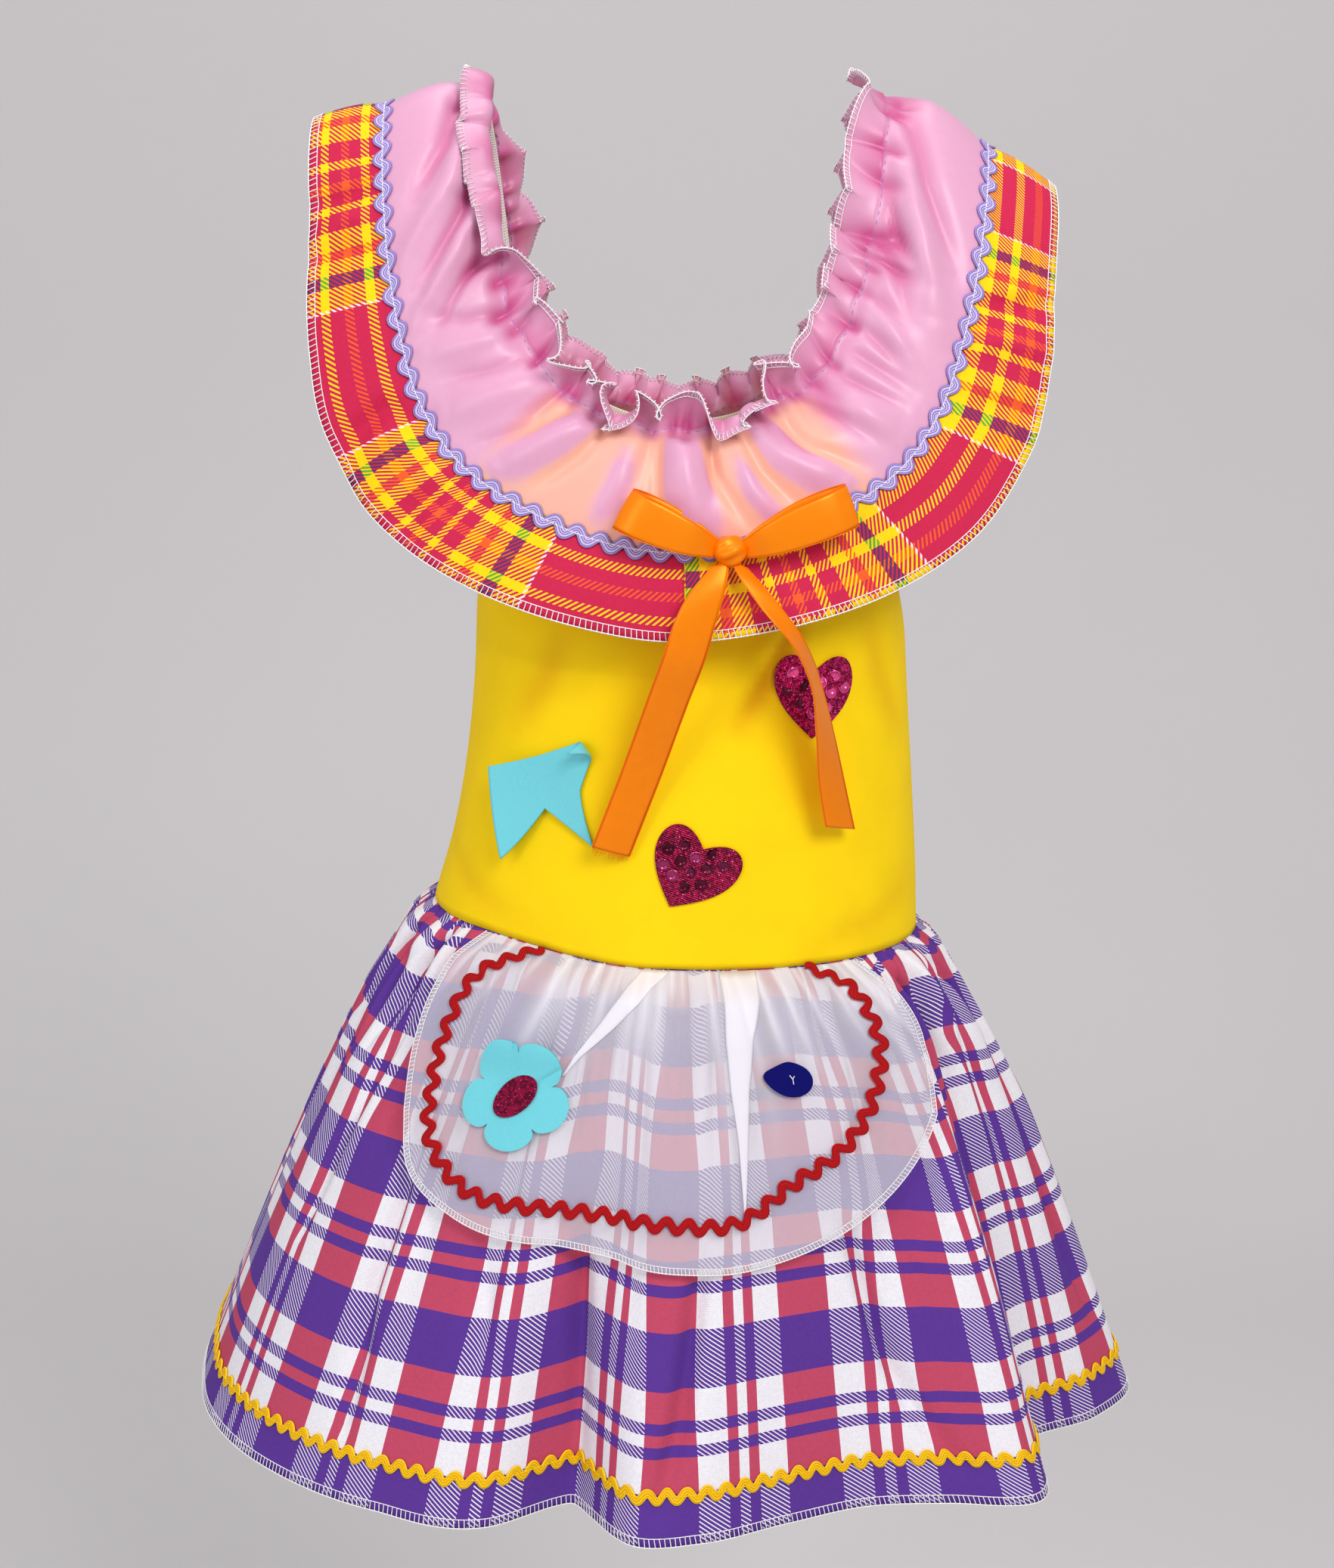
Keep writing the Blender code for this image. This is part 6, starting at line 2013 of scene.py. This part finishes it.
def make_patches():
    disc = model_sequin()
    add_patch(
        "sequin_heart", body_point, HEART_UPPER, heart_outline(HEART_UPPER), SEQUIN_CLOTH_THICK,
        "bright lame", "magenta_sequin", "heart_upper",
    )
    add_sequins(
        "sequins_upper", HEART_UPPER, disc, kept=1.0, tilt=0.32, glint_share_left=0.0, glint_share_right=1.25,
        shine=1.0, seed=2,
    )
    add_patch(
        "lame_heart", body_point, HEART_LOWER, heart_outline(HEART_LOWER), SEQUIN_CLOTH_THICK,
        "dark lame", "magenta_sequin", "heart_lower",
    )
    add_sequins(
        "sequins_lower", HEART_LOWER, disc, kept=0.95, tilt=0.12, glint_share_left=0.45, glint_share_right=0.1,
        shine=0.35, seed=4,
    )
    add_patch(
        "foam_flower", apron_point, FLOWER, flower_outline(FLOWER), FOAM_THICK, "aqua foam", "aqua_felt",
        "flower", petal_crease,
    )
    add_patch(
        "flower_middle", flower_top, FLOWER_CENTRE, oval_outline(FLOWER_CENTRE), SEQUIN_CLOTH_THICK,
        "dark lame", "magenta_sequin", "flower_centre",
    )
    add_patch(
        "navy_button", apron_point, BUTTON, oval_outline(BUTTON, BUTTON_POINT), FOAM_THICK, "navy felt",
        "navy_felt", "button",
    )
    strokes = []
    for line in BUTTON_STITCHES:
        flat = turned(np.asarray(line, float), BUTTON["turn"])
        out = np.full(len(flat), BUTTON["lift"] + FOAM_THICK + BUTTON_STITCH["lift"])
        points = on_surface(apron_point, BUTTON["angle"], BUTTON["height"], flat, out)
        facing = np.broadcast_to(np.array(BUTTON_STITCH["facing"]), points.shape)
        strokes.append(tube(points, facing, BUTTON_STITCH["radius"]))
    add_mesh("button_stitch", *join_parts(strokes), "white thread", "white_elastic")


def rolled(flat, start, over, radius):
    """Flat points with those past a slanted line rolled up, and how far out of the cloth each then lies."""
    past = np.maximum(0.0, (flat - np.array(start)) @ np.array(over))
    turn = past / radius
    return flat + np.outer(radius * np.sin(turn) - past, over), radius * (1 - np.cos(turn))


def make_pennant():
    across = np.linspace(0.0, 1.0, PENNANT_COLUMNS)
    grid = []
    for fall in np.linspace(0.0, 1.0, PENNANT_ROWS):
        rightward = np.clip((across - PENNANT_CURL_FROM) / (1 - PENNANT_CURL_FROM), 0.0, 1.0)
        corner = rightward * max(0.0, 1 - fall / PENNANT_CURL_DOWN_TO)
        length = PENNANT["length"] - PENNANT["fork"] * (1 - np.abs(2 * across - 1))
        up = PENNANT_TOP_SLANT * (across - 0.5) - fall * length
        right = (across - 0.5) * PENNANT["width"] - PENNANT_BOW * (1 - across) * (1 - fall**2)
        right = right + PENNANT_CORNER_REACH[0] * corner
        tip = across**3 * fall**2
        right = right - PENNANT_RIGHT_BOW * across**2 * math.sin(math.pi * fall)
        right = right - PENNANT_TIP_DRAWN[0] * tip
        up = up + PENNANT_CORNER_REACH[1] * corner - PENNANT_TIP_DRAWN[1] * tip
        flat, curl = rolled(np.stack([right, up], -1), *PENNANT_ROLL)
        flat = turned(flat, PENNANT["turn"])
        lift = PENNANT_LIFT + curl + PENNANT_LEFT_LIFT * (1 - across) ** 3
        grid.append(on_surface(body_point, PENNANT["angle"], PENNANT["height"], flat, lift + FOAM_THICK))
    grid = np.stack(grid)
    add_cloth(
        "foam_pennant", grid, FOAM_THICK, "aqua foam", "aqua_felt", across * PENNANT["width"],
        lengths_down(grid), nodes=("pennant",),
    )


def finer(rows, at):
    """Rows of three values, read at places between them."""
    return np.stack([np.interp(at, np.arange(len(rows)), rows[:, axis]) for axis in range(3)], -1)


def add_ribbon(name, table, node, cut_slant=0.0, frayed=False):
    """A ribbon strip along a table of places, a little crowned across, with a ridged edge on both sides."""
    rows = np.asarray(table, float)
    travelled = lengths_along(rows[:, :3])
    along = np.linspace(0.0, travelled[-1], RIBBON_COLUMNS)
    values = read(np.concatenate([travelled[:, None], rows], axis=1), along)
    middle = values[:, :3] * FORWARD_TO_Y - (0.0, BOW_BASE_FORWARD, 0.0)
    side = unit(values[:, 3:6])
    width = values[:, 6:7]
    across = np.linspace(0.5, -0.5, RIBBON_ROWS)
    flat = np.stack([middle + side * width * share for share in across])
    normals = sheet_normals(flat)
    facing = 1.0
    if normals[RIBBON_ROWS // 2, 0, 1] > 0:
        flat, normals, facing = flat[::-1], -normals[::-1], -1.0
    bend = RIBBON_CROWN * (1 - (2 * across) ** 2)[:, None, None]
    grid = flat + normals * bend
    run = unit(np.gradient(middle, axis=0))
    near_end = smooth_step((along - travelled[-1] + RIBBON_CUT_OVER) / RIBBON_CUT_OVER)
    slant = facing * cut_slant * across[:, None, None] * near_end[None, :, None] * width[None]
    grid = grid + run[None] * slant
    offset = across[:, None] * width[:, 0][None]
    piece = add_cloth(
        name, grid, RIBBON_THICK, "orange ribbon", "orange_ribbon", along, offset, nodes=(node,)
    )
    edges = []
    for row in (0, -1):
        line = grid[row] - sheet_normals(grid)[row] * RIBBON_THICK / 2
        away = unit(grid[row] - grid[row + (1 if row == 0 else -1)])
        fine = np.linspace(0, RIBBON_COLUMNS - 1, int(travelled[-1] / PICOT["pitch"]))
        points, away, up = (finer(values, fine) for values in (line, away, normals[row]))
        picot = PICOT["out"] * (np.arange(len(fine)) % 2)[:, None]
        edges.append(tube(points + away * picot, up, PICOT["radius"]))
    edge = add_mesh(f"{name}_edges", *join_parts(edges), "orange ribbon", "orange_ribbon")
    if frayed:
        add_mesh(f"{name}_fray", *fray(grid), "orange ribbon", "orange_ribbon")


def fray(grid):
    """Loose threads of uneven length on the cut end of a ribbon."""
    chance = np.random.default_rng(FRAY["seed"])
    end, before = grid[:, -1], grid[:, -3]
    facing = sheet_normals(grid)[:, -1]
    strands = []
    for at in np.linspace(0.02, 0.98, FRAY["count"]) * (len(end) - 1):
        low = int(at)
        share = at - low
        start = end[low] * (1 - share) + end[low + 1] * share
        run = unit(end[low] - before[low]) + chance.normal(0, 0.2, 3)
        length = chance.uniform(FRAY["shortest"], FRAY["longest"])
        bend = chance.normal(0, 0.5, 3)
        halfway = start + run * length * 0.5 + bend * 0.3
        line = np.stack([start - run * 0.5, halfway, start + run * length + bend])
        strands.append(tube(line, facing[low], FRAY["radius"], sides=3))
    return join_parts(strands)


def make_bow():
    add_ribbon("loop_left", LEFT_LOOP, "bow_loop_left")
    add_ribbon("loop_right", RIGHT_LOOP, "bow_loop_right")
    add_ribbon("tail_left", LEFT_TAIL, "ribbon_tail_left", frayed=True)
    add_ribbon("tail_right", RIGHT_TAIL, "ribbon_tail_right", cut_slant=0.1)
    centre = np.array(KNOT_CENTRE) * FORWARD_TO_Y - (0.0, BOW_BASE_FORWARD, 0.0)
    turns = np.linspace(0, 2 * math.pi, KNOT_COLUMNS, endpoint=False)
    turns, ways = np.meshgrid(turns, np.linspace(0.05, math.pi - 0.05, KNOT_ROWS))
    swell = np.cos(KNOT_WRINKLE["count"] * turns + KNOT_WRINKLE["twist"] * np.cos(ways))
    girth = np.sin(ways) ** KNOT_ROUNDNESS * (1 + KNOT_WRINKLE["depth"] * swell * np.sin(ways))
    grid = np.stack(
        [
            centre[0] + KNOT_RADII[0] * np.cos(ways),
            centre[1] - KNOT_RADII[1] * girth * np.cos(turns),
            centre[2] - KNOT_RADII[2] * girth * np.sin(turns),
        ],
        -1,
    )
    along = np.linspace(0, KNOT_CLOTH[0], KNOT_COLUMNS + 1)
    down = np.linspace(-KNOT_CLOTH[1], KNOT_CLOTH[1], KNOT_ROWS)[:, None]
    add_cloth(
        "ribbon_knot", grid, KNOT_THICK, "orange ribbon", "orange_ribbon", along, down, closed=True,
        nodes=("bow_knot",),
    )


# The studio.

LIGHTS = (
    # name, place and aim in metres, size, power in watts, colour
    ("key", (1.2, -2.6, 1.8), (0.0, 0.0, -0.35), 1.3, 74.0, (1.0, 0.985, 0.96)),
    ("fill", (-2.2, -2.2, 0.6), (0.0, 0.0, -0.4), 1.8, 24.0, (0.96, 0.97, 1.0)),
    ("top", (-0.2, 0.6, 2.2), (0.0, 0.0, -0.3), 1.6, 24.0, (1.0, 1.0, 1.0)),
    ("glint", (-0.9, -1.8, 1.3), (0.0, 0.0, -0.3), 0.12, 5.0, (1.0, 1.0, 1.0)),
)
# The floor's outline in metres: it runs level from the front and bends up into the wall.
FLOOR = {
    "level": -1.5, "front": -4.0, "bend_from": 1.6, "bend": 1.2, "bend_steps": 16,
    "wall": 2.8, "top": 4.0, "side": 6.0,
}
WORLD = {"Color": (0.9, 0.9, 0.92, 1.0), "Strength": 0.5}
CAMERA = {"place": (-0.005, -1.40, 0.0), "tilt": 75.0, "roll": 1.5, "lens": 58.15, "film": 36.0}


def make_studio():
    scene = bpy.context.scene
    scene.view_settings.view_transform = "Standard"
    bpy.ops.object.select_all(action="DESELECT")
    bpy.ops.mesh.primitive_plane_add(size=1.0, location=(0.0, 0.0, 0.0))
    floor = bpy.context.object
    floor.name = "studio_floor"
    profile = [(FLOOR["front"], FLOOR["level"])]
    for turn in np.linspace(0.0, math.pi / 2, FLOOR["bend_steps"]):
        back = FLOOR["bend_from"] + FLOOR["bend"] * math.sin(turn)
        profile.append((back, FLOOR["level"] + FLOOR["bend"] * (1 - math.cos(turn))))
    profile = np.array([*profile, (FLOOR["wall"], FLOOR["top"])])
    sides = (-FLOOR["side"], FLOOR["side"])
    grid = np.stack([np.column_stack([np.full(len(profile), side), profile]) for side in sides])
    index = np.arange(2 * len(profile)).reshape(2, -1)
    faces = np.stack([index[0, :-1], index[1, :-1], index[1, 1:], index[0, 1:]], -1)
    mesh = bpy.data.meshes.new("studio_floor")
    mesh.from_pydata(grid.reshape(-1, 3).tolist(), [], faces.tolist())
    mesh.materials.append(FINISHES["backdrop"])
    mesh.shade_smooth()
    floor.data = mesh

    world = bpy.data.worlds.new("pale studio")
    world.use_nodes = True
    for label, value in WORLD.items():
        world.node_tree.nodes["Background"].inputs[label].default_value = value
    scene.world = world
    for name, place, aim, size, power, tint in LIGHTS:
        light = bpy.data.lights.new(name, "AREA")
        light.size = size
        light.energy = power
        light.color = tint
        lamp = bpy.data.objects.new(name, light)
        scene.collection.objects.link(lamp)
        direction = np.array(aim) - np.array(place)
        lamp.location = place
        lamp.rotation_euler = (
            math.atan2(math.hypot(direction[0], direction[1]), -direction[2]),
            0.0,
            math.atan2(-direction[0], direction[1]),
        )

    camera = bpy.data.cameras.new("camera")
    camera.lens = CAMERA["lens"]
    camera.sensor_width = CAMERA["film"]
    stand = bpy.data.objects.new("camera", camera)
    stand.matrix_world = (
        Matrix.Translation(CAMERA["place"])
        @ Matrix.Rotation(math.radians(CAMERA["tilt"]), 4, "X")
        @ Matrix.Rotation(math.radians(CAMERA["roll"]), 4, "Z")
    )
    scene.collection.objects.link(stand)
    scene.camera = stand


FINISHES = {}
EFFECTS = make_effects()
make_finishes()
make_bodice()
make_collar()
make_neck_elastic()
make_skirt()
make_apron()
make_patches()
make_pennant()
make_bow()
make_studio()
